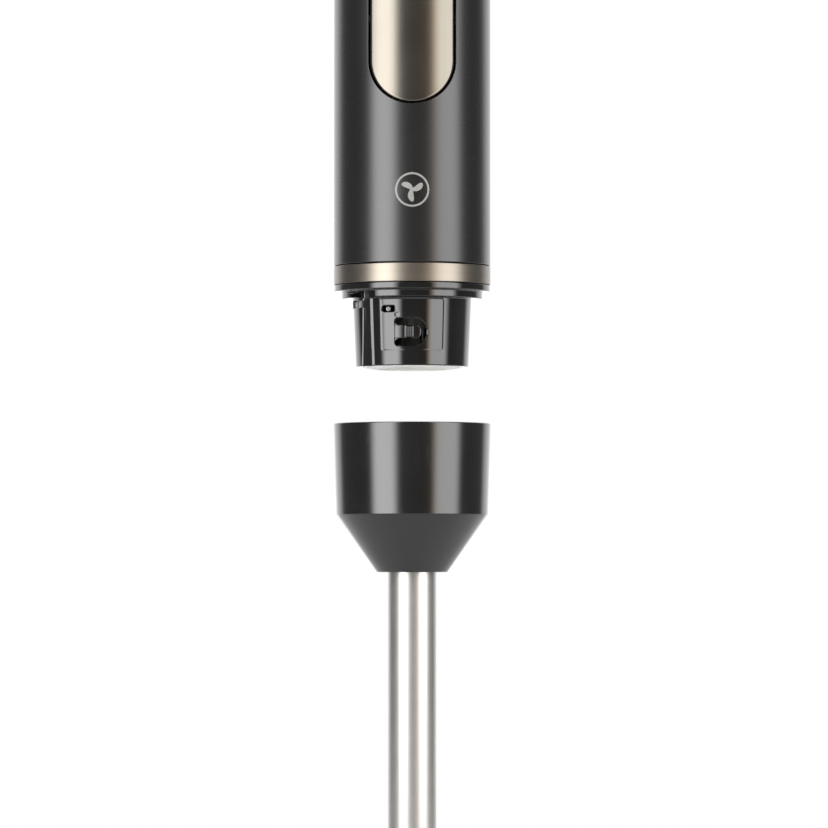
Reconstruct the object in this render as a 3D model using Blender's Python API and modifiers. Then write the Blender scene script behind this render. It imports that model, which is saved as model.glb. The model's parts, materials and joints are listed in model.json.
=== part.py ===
"""Immersion blender: a motor handle with a squeeze trigger, and a blending shaft that parts from it
along one axis. +Z is up along that axis, the trigger faces -Y, and the origin is on the axis in the grip."""

import math

import bmesh
import bpy
from mathutils import Matrix, Vector

# ---------------------------------------------------------------- driving sizes, in metres
GAP = 0.0003              # between two pieces that touch
RUN = 0.0003              # radial clearance of a turning piece
FACETS = 48               # round a large turned piece
FINE = 24                 # round a small one

CASE_R = 0.0290           # handle
CASE_WALL = 0.0025
CASE_H = 0.1697
GRIP_OVER_SEAT = 0.1014   # the origin's height over the seat that the shaft closes against
RING_H = 0.0067
LIP_H = 0.0024
STEP_H = 0.0027
NECK_L = 0.0278           # from the seat to the neck's lower edge
NECK_WALL = 0.0025
NECK_DRAFT = 0.0011
SPIGOT_H = 0.0110         # of the neck, inside the trim ring and the casing
SPIGOT_WALL = 0.0022
COLLAR_OUT = 0.0008
COLLAR_UP = 0.0060
COLLAR_BORE_R = 0.0130
CAP_H = 0.0120
CAP_WALL = 0.0024
CAP_SPIGOT = 0.0060
CAP_ROUND = 0.0035

CHANNEL_W = 0.0082        # bayonet
CHANNEL_DEPTH = 0.0017
CHANNEL_ANGLE = 218.8
LUG_W = 0.0038
LUG_ANGLE = 220.0
LUG_H = 0.0022
LUG_UNDER_RIM = 0.0034
LUG_SLIP = 0.0004
TWIST = 30.0
PART_GAP = 0.0486         # the rim's distance under the seat, with the shaft off

WINDOW_W = 0.0044         # on the neck's front
WINDOW_H = 0.0023
WINDOW_X = -0.0087
WINDOW_DROP = 0.0070
PLUNGER_R = 0.0009
PLUNGER_TRAVEL = 0.0012
TONGUE_W = 0.0096         # along X, root to tip
TONGUE_H = 0.0048
TONGUE_X = -0.0063        # its root
TONGUE_DROP = 0.0155
TONGUE_T = 0.0016
TONGUE_SLOT = 0.00275
TONGUE_END = 0.0021
TONGUE_TIP_R = 0.0020
SLOT_END_R = 0.0048
SLOT_ROOT_R = 0.0013

PILL_W = 0.0309           # trigger
PILL_L = 0.0931
PILL_T = 0.0024
PILL_GAP = 0.0008
PILL_OVER_SEAT = 0.0683
PIVOT_UP = 0.0141         # over the trigger's lower tip
PIVOT_IN = 0.0076         # in from the casing's surface
PIVOT_R = 0.00125
PIVOT_L = 0.0200
SQUEEZE = 1.6

CORE_L = 0.0300           # motor
CORE_OVER_SEAT = 0.0410
CORE_YOKE = 0.0040
CORE_TO_CASE = 0.0040
ROTOR_R = 0.0130
AIR_GAP = 0.0006
COIL_OUT = 0.0040
POLE_HALF_ANGLE = 50.0
MOTOR_SHAFT_R = 0.0040
COMMUTATOR_R = 0.0090
COMMUTATOR_L = 0.0110
BEARING_R = 0.0080
BEARING_H = 0.0060
FAN_R = 0.0190
FAN_H = 0.0080
BRACKET_T = 0.0030
SPLINE_TEETH = 12
DOG_R = 0.0050
DOG_ROOT_R = 0.0040
DOG_L = 0.0130
DOG_HUB_R = 0.0064
DOG_HUB_H = 0.0040
DOG_IN_NECK = 0.0012      # the dog's end, in from the neck's lower edge
MESH_SLIP = 0.0004

DIAL_R = 0.0140           # top
DIAL_H = 0.0085
DIAL_Y = -0.0060
DIAL_PIN_R = 0.0030
POT_R = 0.0080
POT_H = 0.0080
GLAND_Y = 0.0170
GLAND_R = 0.0062
GLAND_BORE_R = 0.0042
GLAND_UP = 0.0070
GLAND_FLANGE = 0.0016

CUP_OVER = 0.0002         # shaft: the cup's radius over the casing's
CUP_WALL = 0.0024
CUP_DRAFT = 0.00105
CUP_SLIP = 0.0006
INSERT_WALL = 0.00325
INSERT_FLOOR = 0.0030
INSERT_TOP = 0.0060
FLOOR_CLEAR = 0.00215
CONE_H = 0.0213
CONE_OVER_TUBE = 0.0042
TUBE_R = 0.00895
TUBE_WALL = 0.0010
SHAFT_L = 0.2120
SPINDLE_R = 0.0030
SOCKET_R = 0.0075
SOCKET_H = 0.0145
SOCKET_DEPTH = 0.0115
BUSH_H = 0.0100
SEAL_H = 0.0036

BELL_R = 0.0320           # bell guard
BELL_H = 0.0430
BELL_WALL = 0.0012
BELL_SKIRT = 0.0130
BELL_NECK_L = 0.0060
SCALLOP_R = 0.0070
VENT_R = 0.0024
VENT_L = 0.0090
BLADE_R = 0.0245
BLADE_W = 0.0110
BLADE_T = 0.0014
BLADE_OVER_RIM = 0.0125
BLADE_BEND = 0.0034
NUT_R = 0.0052
NUT_H = 0.0034
WASHER_R = 0.0068
WASHER_H = 0.0016

# ---------------------------------------------------------------- levels and radii that follow
SEAT = -GRIP_OVER_SEAT
LIP_TOP = SEAT + LIP_H
RING_Z = LIP_TOP + GAP
CASE_Z = RING_Z + RING_H + GAP
CASE_TOP = CASE_Z + CASE_H
CAP_Z = CASE_TOP + GAP
CAP_TOP = CAP_Z + CAP_H
CASE_IN = CASE_R - CASE_WALL
NECK_END = SEAT - NECK_L

CUP_R = CASE_R + CUP_OVER
CUP_IN = CUP_R - CUP_WALL
STEP_R = CUP_IN - CUP_SLIP
INSERT_R = CUP_IN - GAP
INSERT_IN = INSERT_R - INSERT_WALL
NECK_R = INSERT_IN - 2 * CUP_SLIP
NECK_IN = NECK_R - NECK_WALL
NECK_END_R = NECK_R - NECK_DRAFT
LUG_TIP = NECK_R - CHANNEL_DEPTH + LUG_SLIP
SPIGOT_R = CASE_IN - GAP
SPIGOT_IN = SPIGOT_R - SPIGOT_WALL

RIM = SEAT - PART_GAP
FLOOR = RIM - NECK_L - COLLAR_OUT - FLOOR_CLEAR
SHOULDER = FLOOR - INSERT_FLOOR
CONE_END = SHOULDER - CONE_H
CONE_END_R = TUBE_R + CONE_OVER_TUBE
TUBE_IN = TUBE_R - TUBE_WALL
SHAFT_END = RIM - SHAFT_L
BELL_TOP = SHAFT_END + BELL_H
TUBE_TOP = CONE_END + 0.6 * CONE_H
TUBE_END = BELL_TOP + GAP
BLADE_Z = SHAFT_END + BLADE_OVER_RIM

CORE_Z = SEAT + CORE_OVER_SEAT
CORE_TOP = CORE_Z + CORE_L
CORE_R = CASE_IN - CORE_TO_CASE
COIL_IN = ROTOR_R + AIR_GAP + GAP
COIL_R = CORE_R - CORE_YOKE - GAP
COIL_TOP = CORE_TOP + COIL_OUT
DOG_Z = NECK_END + DOG_IN_NECK
DOG_TOP = DOG_Z + DOG_L + DOG_HUB_H
LOW_BRACKET_Z = LIP_TOP
LOW_BEARING_Z = LOW_BRACKET_Z + BRACKET_T
FAN_Z = LOW_BEARING_Z + BEARING_H + 0.0045
COMMUTATOR_Z = CORE_TOP + 0.0110
HIGH_BEARING_Z = COMMUTATOR_Z + COMMUTATOR_L + 0.0030
HIGH_BRACKET_Z = HIGH_BEARING_Z + BEARING_H / 2
MOTOR_SHAFT_TOP = HIGH_BEARING_Z + BEARING_H + 0.0010

PILL_Z = SEAT + PILL_OVER_SEAT
PILL_TOP = PILL_Z + PILL_L
PILL_ROUND = PILL_W / 2
PIVOT = Vector((0, -CASE_R + PIVOT_IN, PILL_Z + PIVOT_UP))
BOARD_Z = HIGH_BEARING_Z + BEARING_H + 0.0090

# ---------------------------------------------------------------- scene
for old in list(bpy.data.objects):
    bpy.data.objects.remove(old, do_unlink=True)
PARTS = bpy.data.collections.new("immersion_blender")
CUTTERS = bpy.data.collections.new("cutters")
bpy.context.scene.collection.children.link(PARTS)
bpy.context.scene.collection.children.link(CUTTERS)
CUTTERS.hide_render = True


def material(name, colour, roughness, metallic):
    made = bpy.data.materials.new(name)
    made.use_nodes = True
    shader = made.node_tree.nodes["Principled BSDF"]
    shader.inputs["Base Color"].default_value = (*colour, 1)
    shader.inputs["Roughness"].default_value = roughness
    shader.inputs["Metallic"].default_value = metallic
    made.diffuse_color = (*colour, 1)
    return made


GRAPHITE = material("graphite", (0.035, 0.035, 0.036), 0.38, 0.2)
BRONZE = material("champagne_bronze", (0.46, 0.36, 0.27), 0.28, 0.9)
GLOSS = material("gloss_black", (0.012, 0.012, 0.013), 0.12, 0.0)
PALE = material("pale_plastic", (0.62, 0.63, 0.62), 0.4, 0.0)
GREY = material("grey_plastic", (0.18, 0.18, 0.18), 0.5, 0.0)
RUBBER = material("rubber", (0.02, 0.02, 0.02), 0.8, 0.0)
STEEL = material("stainless_steel", (0.62, 0.60, 0.58), 0.22, 1.0)
SPRING = material("spring_steel", (0.5, 0.5, 0.5), 0.3, 1.0)
IRON = material("laminated_iron", (0.25, 0.25, 0.26), 0.45, 0.8)
COPPER = material("copper", (0.72, 0.33, 0.16), 0.35, 0.9)
CARBON = material("carbon", (0.03, 0.03, 0.03), 0.7, 0.0)
BOARD = material("circuit_board", (0.05, 0.16, 0.07), 0.5, 0.0)
ALUMINIUM = material("aluminium", (0.55, 0.56, 0.57), 0.35, 1.0)
NYLON = material("white_nylon", (0.75, 0.74, 0.70), 0.45, 0.0)


def place(name, mesh, look, at=(0, 0, 0), parent=None):
    """An object of this mesh, which is in world coordinates, with its origin at `at`."""
    mesh.transform(Matrix.Translation(-Vector(at)))
    obj = bpy.data.objects.new(name, mesh)
    obj.location = at
    (PARTS if look else CUTTERS).objects.link(obj)
    if look:
        mesh.materials.append(look)
    else:
        obj.hide_render = True
        obj.display_type = "WIRE"
    if parent:
        obj.parent = parent
        obj.matrix_parent_inverse = Matrix.Translation(-Vector(parent.location))
    for polygon in mesh.polygons:
        polygon.use_smooth = True
    mesh.set_sharp_from_angle(angle=math.radians(35))
    return obj


def axis_empty(name, at):
    empty = bpy.data.objects.new(name, None)
    empty.location = at
    empty.empty_display_size = 0.01
    PARTS.objects.link(empty)
    return empty


def turned(name, profile, look, steps=FACETS, centre=(0, 0), at=None, parent=None):
    """A (radius, z) profile turned about Z. It runs down the outer side. One that meets the axis is open."""
    closed = all(r > 1e-7 for r, z in profile)
    mesh = bpy.data.meshes.new(name)
    count = len(profile)
    edges = [(i, (i + 1) % count) for i in range(count if closed else count - 1)]
    mesh.from_pydata([(r, 0, z) for r, z in profile], edges, [])
    obj = bpy.data.objects.new(name, mesh)
    PARTS.objects.link(obj)
    screw = obj.modifiers.new("turn", "SCREW")
    screw.steps = steps
    screw.render_steps = steps
    screw.use_merge_vertices = True
    screw.merge_threshold = 1e-6
    screw.use_smooth_shade = True
    solid = evaluated(obj)
    bpy.data.objects.remove(obj, do_unlink=True)
    solid.transform(Matrix.Translation((centre[0], centre[1], 0)))
    return place(name, solid, look, at or (centre[0], centre[1], 0), parent)


def evaluated(obj):
    """The mesh that an object's modifiers, or a curve's outline, give."""
    graph = bpy.context.evaluated_depsgraph_get()
    graph.update()
    mesh = bpy.data.meshes.new_from_object(obj.evaluated_get(graph))
    edit = bmesh.new()
    edit.from_mesh(mesh)
    bmesh.ops.remove_doubles(edit, verts=edit.verts, dist=1e-7)
    bmesh.ops.recalc_face_normals(edit, faces=edit.faces)
    edit.to_mesh(mesh)
    edit.free()
    return mesh


def plate(name, loops, low, high, look, turn=None, at=(0, 0, 0), parent=None):
    """Flat outlines, the first one outer and the others holes, raised from low to high."""
    curve = bpy.data.curves.new(name, "CURVE")
    curve.dimensions = "2D"
    curve.fill_mode = "BOTH"
    curve.extrude = (high - low) / 2
    for loop in loops:
        spline = curve.splines.new("POLY")
        spline.points.add(len(loop) - 1)
        for point, (x, y) in zip(spline.points, loop):
            point.co = (x, y, 0, 1)
        spline.use_cyclic_u = True
    obj = bpy.data.objects.new(name, curve)
    PARTS.objects.link(obj)
    mesh = evaluated(obj)
    bpy.data.objects.remove(obj, do_unlink=True)
    mesh.transform(Matrix.Translation((0, 0, (low + high) / 2)))
    if turn:
        mesh.transform(turn)
    return place(name, mesh, look, at, parent)


def box(name, low, high, look, turn=None, bevel=0.0, at=(0, 0, 0), parent=None):
    mesh = bpy.data.meshes.new(name)
    edit = bmesh.new()
    bmesh.ops.create_cube(edit, size=1)
    low, high = Vector(low), Vector(high)
    for vert in edit.verts:
        vert.co = [(a + b) / 2 + c * (b - a) for a, b, c in zip(low, high, vert.co)]
    edit.to_mesh(mesh)
    edit.free()
    if turn:
        mesh.transform(turn)
    obj = place(name, mesh, look, at, parent)
    if bevel:
        rounding = obj.modifiers.new("edges", "BEVEL")
        rounding.width = bevel
        rounding.segments = 2
    return obj


def rod(name, start, end, radius, look, sides=20, at=(0, 0, 0), parent=None):
    """A cylinder between two points."""
    start, end = Vector(start), Vector(end)
    run = end - start
    mesh = bpy.data.meshes.new(name)
    edit = bmesh.new()
    bmesh.ops.create_cone(edit, cap_ends=True, segments=sides, radius1=radius, radius2=radius, depth=run.length)
    turn = Vector((0, 0, 1)).rotation_difference(run).to_matrix().to_4x4()
    edit.transform(Matrix.Translation((start + end) / 2) @ turn)
    edit.to_mesh(mesh)
    edit.free()
    return place(name, mesh, look, at, parent)


def boolean(obj, other, operation):
    """Cuts, joins or keeps what is common. A helper that is joined goes with the cutters."""
    step = obj.modifiers.new(other.name, "BOOLEAN")
    step.operation = operation
    step.object = other
    step.solver = "EXACT"
    return obj


def cut(obj, *others):
    for other in others:
        boolean(obj, other, "DIFFERENCE")
    return obj


def join(obj, *others):
    for other in others:
        boolean(obj, other, "UNION")
    return obj


def circle(radius, count=FINE, x=0.0, y=0.0):
    return [(x + radius * math.cos(2 * math.pi * i / count), y + radius * math.sin(2 * math.pi * i / count))
            for i in range(count)]


def sector(inner, outer, start, end, count=12):
    """A piece of a ring between two angles in degrees."""
    angles = [math.radians(start + (end - start) * i / count) for i in range(count + 1)]
    return ([(outer * math.cos(a), outer * math.sin(a)) for a in angles]
            + [(inner * math.cos(a), inner * math.sin(a)) for a in reversed(angles)])


def toothed(root, tip, teeth, share=0.5, flank=0.12):
    """An outline whose radius steps between root and tip, once a tooth."""
    points = []
    for i in range(teeth):
        for turn, radius in ((-share / 2 - flank / 2, root), (-share / 2 + flank / 2, tip),
                             (share / 2 - flank / 2, tip), (share / 2 + flank / 2, root)):
            angle = 2 * math.pi * (i + turn) / teeth
            points.append((radius * math.cos(angle), radius * math.sin(angle)))
    return points


def stadium(half, low, high, count=16):
    """Round-ended upright outline in X and Z, with its tips at low and high."""
    top = [(half * math.cos(math.pi * i / count), high - half + half * math.sin(math.pi * i / count))
           for i in range(count + 1)]
    bottom = [(-half * math.cos(math.pi * i / count), low + half - half * math.sin(math.pi * i / count))
              for i in range(count + 1)]
    return top + bottom


def round_ended(left, right, middle, half, root, end, count=6):
    """Outline in X and Z with corners of radius root on its left and of radius end on its right."""
    outline = []
    for x, z, radius, start in ((right, middle - half, end, -90), (right, middle + half, end, 0),
                                (left, middle + half, root, 90), (left, middle - half, root, 180)):
        cx = x - radius if x == right else x + radius
        cz = z + radius if z < middle else z - radius
        outline += [(cx + radius * math.cos(math.radians(start + 90 * i / count)),
                     cz + radius * math.sin(math.radians(start + 90 * i / count))) for i in range(count + 1)]
    return outline


def spin(angle):
    return Matrix.Rotation(math.radians(angle), 4, "Z")


UPRIGHT = Matrix.Rotation(math.radians(90), 4, "X")     # outline in X and Z, thickness along -Y

# ---------------------------------------------------------------- handle shell
casing = turned("casing", [(CASE_R, CASE_TOP), (CASE_R, CASE_Z), (CASE_IN, CASE_Z), (CASE_IN, CASE_TOP)], GRAPHITE)
cut(casing, plate("cut_trigger_opening", [stadium(PILL_ROUND + PILL_GAP, PILL_Z - PILL_GAP, PILL_TOP + PILL_GAP)],
                  0.002, CASE_R + 0.01, None, UPRIGHT))
VENT_ROWS = 7
for row in range(VENT_ROWS):
    rise = CASE_TOP - CAP_SPIGOT - 0.012 - 0.0045 * row
    cut(casing, plate(f"cut_air_slot_{row + 1}", [[(x, rise + z) for x, z in (
        (-0.0085, -0.0009), (0.0085, -0.0009), (0.0085, 0.0009), (-0.0085, 0.0009))]],
        -CASE_R - 0.005, -0.002, None, UPRIGHT))

turned("trim_ring", [(CASE_R, RING_Z + RING_H), (CASE_R, RING_Z), (CASE_IN, RING_Z), (CASE_IN, RING_Z + RING_H)], BRONZE)

INNER_LEDGE = SEAT + 0.0008
neck = turned("coupling_neck", [
    (SPIGOT_R, LIP_TOP + SPIGOT_H), (SPIGOT_R, LIP_TOP), (CASE_R, LIP_TOP), (CASE_R, SEAT),
    (STEP_R, SEAT), (STEP_R, SEAT - STEP_H), (NECK_R, SEAT - STEP_H), (NECK_END_R, NECK_END),
    (NECK_END_R - NECK_WALL, NECK_END), (NECK_IN, SEAT - STEP_H - 0.001), (NECK_IN, INNER_LEDGE),
    (SPIGOT_IN, INNER_LEDGE), (SPIGOT_IN, LIP_TOP + SPIGOT_H)], GLOSS)
CHANNEL_FLOOR = NECK_R - CHANNEL_DEPTH
CHANNEL_TOP = SEAT - GAP * 2
LEG_TOP = SEAT - GAP - LUG_UNDER_RIM + GAP
LEG_END = SEAT - GAP - LUG_UNDER_RIM - LUG_H - GAP
LEG_HALF = math.degrees((LUG_W / 2 + LUG_SLIP) / NECK_R)
for side in (0, 180):
    mark = "a" if side == 0 else "b"
    cut(neck, box(f"cut_channel_{mark}", (CHANNEL_FLOOR, -CHANNEL_W / 2, NECK_END - 0.005),
                  (STEP_R + 0.005, CHANNEL_W / 2, CHANNEL_TOP), None, spin(CHANNEL_ANGLE + side)))
    cut(neck, plate(f"cut_lock_leg_{mark}", [sector(CHANNEL_FLOOR, STEP_R + 0.002,
                    LUG_ANGLE + side - TWIST - LEG_HALF, LUG_ANGLE + side)], LEG_END, LEG_TOP, None))

TONGUE_Z = SEAT - TONGUE_DROP
NECK_AT_TONGUE = NECK_R - NECK_DRAFT * (TONGUE_DROP - STEP_H) / (NECK_L - STEP_H)
TONGUE_POCKET_Y = NECK_AT_TONGUE * 0.5
cut(neck, plate("cut_tongue_pocket", [round_ended(
    TONGUE_X - GAP, TONGUE_X + TONGUE_W + TONGUE_END, TONGUE_Z, TONGUE_H / 2 + TONGUE_SLOT, SLOT_ROOT_R, SLOT_END_R)],
    TONGUE_POCKET_Y, NECK_R + 0.004, None, UPRIGHT))
WINDOW_Z = SEAT - WINDOW_DROP
cut(neck, box("cut_window", (WINDOW_X - WINDOW_W / 2, -NECK_R - 0.004, WINDOW_Z - WINDOW_H / 2),
              (WINDOW_X + WINDOW_W / 2, -TONGUE_POCKET_Y, WINDOW_Z + WINDOW_H / 2), None))

turned("neck_collar", [
    (NECK_END_R - NECK_WALL - GAP, NECK_END + COLLAR_UP), (NECK_END_R - NECK_WALL - GAP, NECK_END - COLLAR_OUT / 4),
    (COLLAR_BORE_R + 0.0010, NECK_END - COLLAR_OUT), (COLLAR_BORE_R, NECK_END - COLLAR_OUT),
    (COLLAR_BORE_R, NECK_END + COLLAR_UP)], PALE, 48)

# ---------------------------------------------------------------- pieces on the neck's front
TONGUE_ROOT = Vector((TONGUE_X, -math.sqrt(NECK_AT_TONGUE ** 2 - TONGUE_X ** 2) + TONGUE_T / 2, TONGUE_Z))
tongue_axis = axis_empty("tongue_axis", TONGUE_ROOT)
root_angle = math.degrees(math.asin(TONGUE_X / NECK_AT_TONGUE)) - 90
tip_angle = math.degrees(math.asin((TONGUE_X + TONGUE_W) / NECK_AT_TONGUE)) - 90
tongue = plate("latch_tongue", [sector(NECK_AT_TONGUE - TONGUE_T, NECK_AT_TONGUE - 0.0001, root_angle, tip_angle)],
               TONGUE_Z - TONGUE_H / 2, TONGUE_Z + TONGUE_H / 2, GLOSS, None, TONGUE_ROOT, tongue_axis)
BUMP_X = TONGUE_X + TONGUE_W * 0.62
boolean(tongue, plate("keep_tongue_outline", [round_ended(
    TONGUE_X - 0.002, TONGUE_X + TONGUE_W, TONGUE_Z, TONGUE_H / 2, 0.0002, TONGUE_TIP_R)],
    TONGUE_POCKET_Y, NECK_R + 0.004, None, UPRIGHT), "INTERSECT")
join(tongue, rod("join_detent_bump", (BUMP_X, -NECK_AT_TONGUE + 0.0008, TONGUE_Z - TONGUE_H * 0.4),
                 (BUMP_X, -NECK_AT_TONGUE + 0.0008, TONGUE_Z + TONGUE_H * 0.4), 0.0012, None, 16))

NECK_AT_WINDOW = NECK_R - NECK_DRAFT * (WINDOW_DROP - STEP_H) / (NECK_L - STEP_H)
WINDOW_FACE = -math.sqrt(NECK_AT_WINDOW ** 2 - (WINDOW_X - WINDOW_W / 2) ** 2)
plunger_axis = axis_empty("plunger_axis", (WINDOW_X, WINDOW_FACE, WINDOW_Z))
PLUNGER_END = WINDOW_FACE + 0.0060
rod("interlock_plunger", (WINDOW_X, WINDOW_FACE + 0.0003, WINDOW_Z), (WINDOW_X, PLUNGER_END, WINDOW_Z),
    PLUNGER_R, PALE, 16, (WINDOW_X, WINDOW_FACE, WINDOW_Z), plunger_axis)
box("interlock_switch", (WINDOW_X - 0.0035, PLUNGER_END + PLUNGER_TRAVEL + GAP, WINDOW_Z - 0.0020),
    (WINDOW_X + 0.0015, PLUNGER_END + PLUNGER_TRAVEL + 0.0033, WINDOW_Z + 0.0040), CARBON)

# ---------------------------------------------------------------- trigger
trigger_axis = axis_empty("trigger_axis", PIVOT)
trigger = turned("trigger", [
    (CASE_R, PILL_TOP + 0.005), (CASE_R, PILL_Z - 0.005),
    (CASE_R - PILL_T, PILL_Z - 0.005), (CASE_R - PILL_T, PILL_TOP + 0.005)],
    BRONZE, FACETS, (0, 0), PIVOT, trigger_axis)
boolean(trigger, plate("keep_trigger_outline", [stadium(PILL_ROUND, PILL_Z, PILL_TOP)],
                       0.010, CASE_R + 0.01, None, UPRIGHT), "INTERSECT")
BOSS_HALF = 0.0045
join(trigger, box("join_trigger_boss", (-BOSS_HALF, -CASE_R + PILL_T / 2, PIVOT.z - 0.003),
                  (BOSS_HALF, PIVOT.y + 0.003, PIVOT.z + 0.003), None))
cut(trigger, rod("cut_trigger_bore", PIVOT - Vector((0.02, 0, 0)), PIVOT + Vector((0.02, 0, 0)),
                 PIVOT_R + RUN, None, 24))
rod("trigger_pivot_pin", PIVOT - Vector((PIVOT_L / 2, 0, 0)), PIVOT + Vector((PIVOT_L / 2, 0, 0)), PIVOT_R, STEEL, 20)
BRACKET_BACK = PIVOT.y + 0.0072
bracket = box("trigger_bracket", (-PIVOT_L / 2, PIVOT.y + 0.0042, PIVOT.z - 0.004),
              (PIVOT_L / 2, BRACKET_BACK, PIVOT.z + 0.004), GREY)
for side in (-1, 1):
    ear = sorted((side * (BOSS_HALF + 0.0006), side * (PIVOT_L / 2)))
    mark = "left" if side < 0 else "right"
    join(bracket, box(f"join_ear_{mark}", (ear[0], PIVOT.y - 0.0024, PIVOT.z - 0.0036),
                      (ear[1], PIVOT.y + 0.005, PIVOT.z + 0.0036), None))
cut(bracket, rod("cut_bracket_bore", PIVOT - Vector((0.02, 0, 0)), PIVOT + Vector((0.02, 0, 0)),
                 PIVOT_R + GAP, None, 24))

SPRING_Z = PILL_TOP - 0.030
SPRING_FRONT = -CASE_R + PILL_T + GAP * 2
BOARD_FACE = -0.0060
SWITCH_FRONT = SPRING_FRONT + 0.0042


def coil(name, start, end, radius, wire, turns, look):
    """An open coil spring along Y."""
    curve = bpy.data.curves.new(name, "CURVE")
    curve.dimensions = "3D"
    curve.bevel_depth = wire
    curve.bevel_resolution = 1
    curve.use_fill_caps = True
    count = turns * 8
    spline = curve.splines.new("POLY")
    spline.points.add(count)
    for i, point in enumerate(spline.points):
        angle = 2 * math.pi * turns * i / count
        along = start[1] + (end[1] - start[1]) * i / count
        point.co = (start[0] + radius * math.cos(angle), along, start[2] + radius * math.sin(angle), 1)
    obj = bpy.data.objects.new(name, curve)
    curve.materials.append(look)
    PARTS.objects.link(obj)
    return obj


coil("trigger_spring", (0, SPRING_FRONT + 0.0006, SPRING_Z), (0, BOARD_FACE - 0.0012, SPRING_Z), 0.0028, 0.0003, 5, SPRING)
box("power_switch", (-0.0075, SWITCH_FRONT, SPRING_Z - 0.0220), (0.0075, BOARD_FACE - GAP, SPRING_Z - 0.0080), CARBON,
    None, 0.0006)

# ---------------------------------------------------------------- motor, fixed pieces
stator_hole = []
for i in range(72):
    angle = math.radians(5 * i + 2.5)
    folded = abs(math.degrees(math.atan2(math.sin(angle), math.cos(angle))))
    radius = ROTOR_R + AIR_GAP if min(folded, 180 - folded) < POLE_HALF_ANGLE else CORE_R - CORE_YOKE
    stator_hole.append((radius * math.cos(angle), radius * math.sin(angle)))
plate("stator_core", [circle(CORE_R, 36), stator_hole], CORE_Z, CORE_TOP, IRON)
for mark, side in (("right", 0), ("left", 180)):
    winding = plate(f"field_coil_{mark}", [sector(COIL_IN, COIL_R, side - 87, side + 87, 24)],
                    CORE_Z - COIL_OUT, COIL_TOP, COPPER)
    cut(winding, plate(f"cut_pole_{mark}", [sector(COIL_IN - 0.002, COIL_R + 0.002, side - POLE_HALF_ANGLE - 4,
                       side + POLE_HALF_ANGLE + 4)], CORE_Z - GAP, CORE_TOP + GAP, None))

SCREW_RING = (NECK_IN + SPIGOT_IN) / 2
SCREW_ANGLES = (75, 135, 255, 315)
HUB_R = BEARING_R + 0.0020
low_bracket = turned("motor_bracket_lower", [
    (HUB_R, LOW_BEARING_Z + BEARING_H), (HUB_R, LOW_BRACKET_Z + BRACKET_T), (SPIGOT_IN - GAP, LOW_BRACKET_Z + BRACKET_T),
    (SPIGOT_IN - GAP, LOW_BRACKET_Z), (MOTOR_SHAFT_R + 0.0010, LOW_BRACKET_Z),
    (MOTOR_SHAFT_R + 0.0010, LOW_BEARING_Z - GAP), (BEARING_R + GAP, LOW_BEARING_Z - GAP),
    (BEARING_R + GAP, LOW_BEARING_Z + BEARING_H)], ALUMINIUM, 32)
for number, angle in enumerate(SCREW_ANGLES, 1):
    x, y = SCREW_RING * math.cos(math.radians(angle)), SCREW_RING * math.sin(math.radians(angle))
    foot = Vector((x, y, SEAT - STEP_H * 0.5))
    top = Vector((x, y, LOW_BRACKET_Z + BRACKET_T + GAP))
    screw = rod(f"neck_screw_{number}", foot, top + Vector((0, 0, 0.0008)), 0.0012, STEEL, 14, foot)
    join(screw, rod(f"join_screw_head_{number}", top, top + Vector((0, 0, 0.0018)), 0.0016, None, 14))
    cut(neck, rod(f"cut_screw_hole_{number}", foot - Vector((0, 0, GAP)), top, 0.0012 + GAP / 2, None, 14))
    cut(low_bracket, rod(f"cut_bracket_hole_{number}", foot, top, 0.0012 + GAP, None, 14))
bearing = [(BEARING_R, BEARING_H), (BEARING_R, 0), (MOTOR_SHAFT_R + RUN, 0), (MOTOR_SHAFT_R + RUN, BEARING_H)]
turned("bearing_lower", [(r, z + LOW_BEARING_Z) for r, z in bearing], STEEL, FINE)
turned("bearing_upper", [(r, z + HIGH_BEARING_Z) for r, z in bearing], STEEL, FINE)
ARM_R = CORE_R + 0.0004
high_bracket = plate("motor_bracket_upper", [sector(0.001, ARM_R, -28, 28, 12)[:13] + sector(0.001, ARM_R, 152, 208, 12)[:13],
                     circle(BEARING_R + GAP)], HIGH_BRACKET_Z, HIGH_BRACKET_Z + BRACKET_T, ALUMINIUM)
for mark, side in (("right", 0), ("left", 180)):
    plate(f"rubber_mount_{mark}", [sector(ARM_R + GAP, CASE_IN - GAP, side - 26, side + 26)],
          HIGH_BRACKET_Z - 0.002, HIGH_BRACKET_Z + BRACKET_T + 0.002, RUBBER)
    turn = spin(side)
    mid = COMMUTATOR_Z + COMMUTATOR_L / 2
    holder = box(f"brush_holder_{mark}", (COMMUTATOR_R + 0.0016, -0.0042, mid - 0.0042),
                 (CORE_R - 0.001, 0.0042, mid + 0.0042), GREY, turn)
    cut(holder, box(f"cut_brush_way_{mark}", (COMMUTATOR_R - 0.002, -0.0029, mid - 0.0029),
                    (CORE_R - 0.0030, 0.0029, mid + 0.0029), None, turn))
    box(f"carbon_brush_{mark}", (COMMUTATOR_R + RUN, -0.0026, mid - 0.0026),
        (CORE_R - 0.0060, 0.0026, mid + 0.0026), CARBON, turn)

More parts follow.
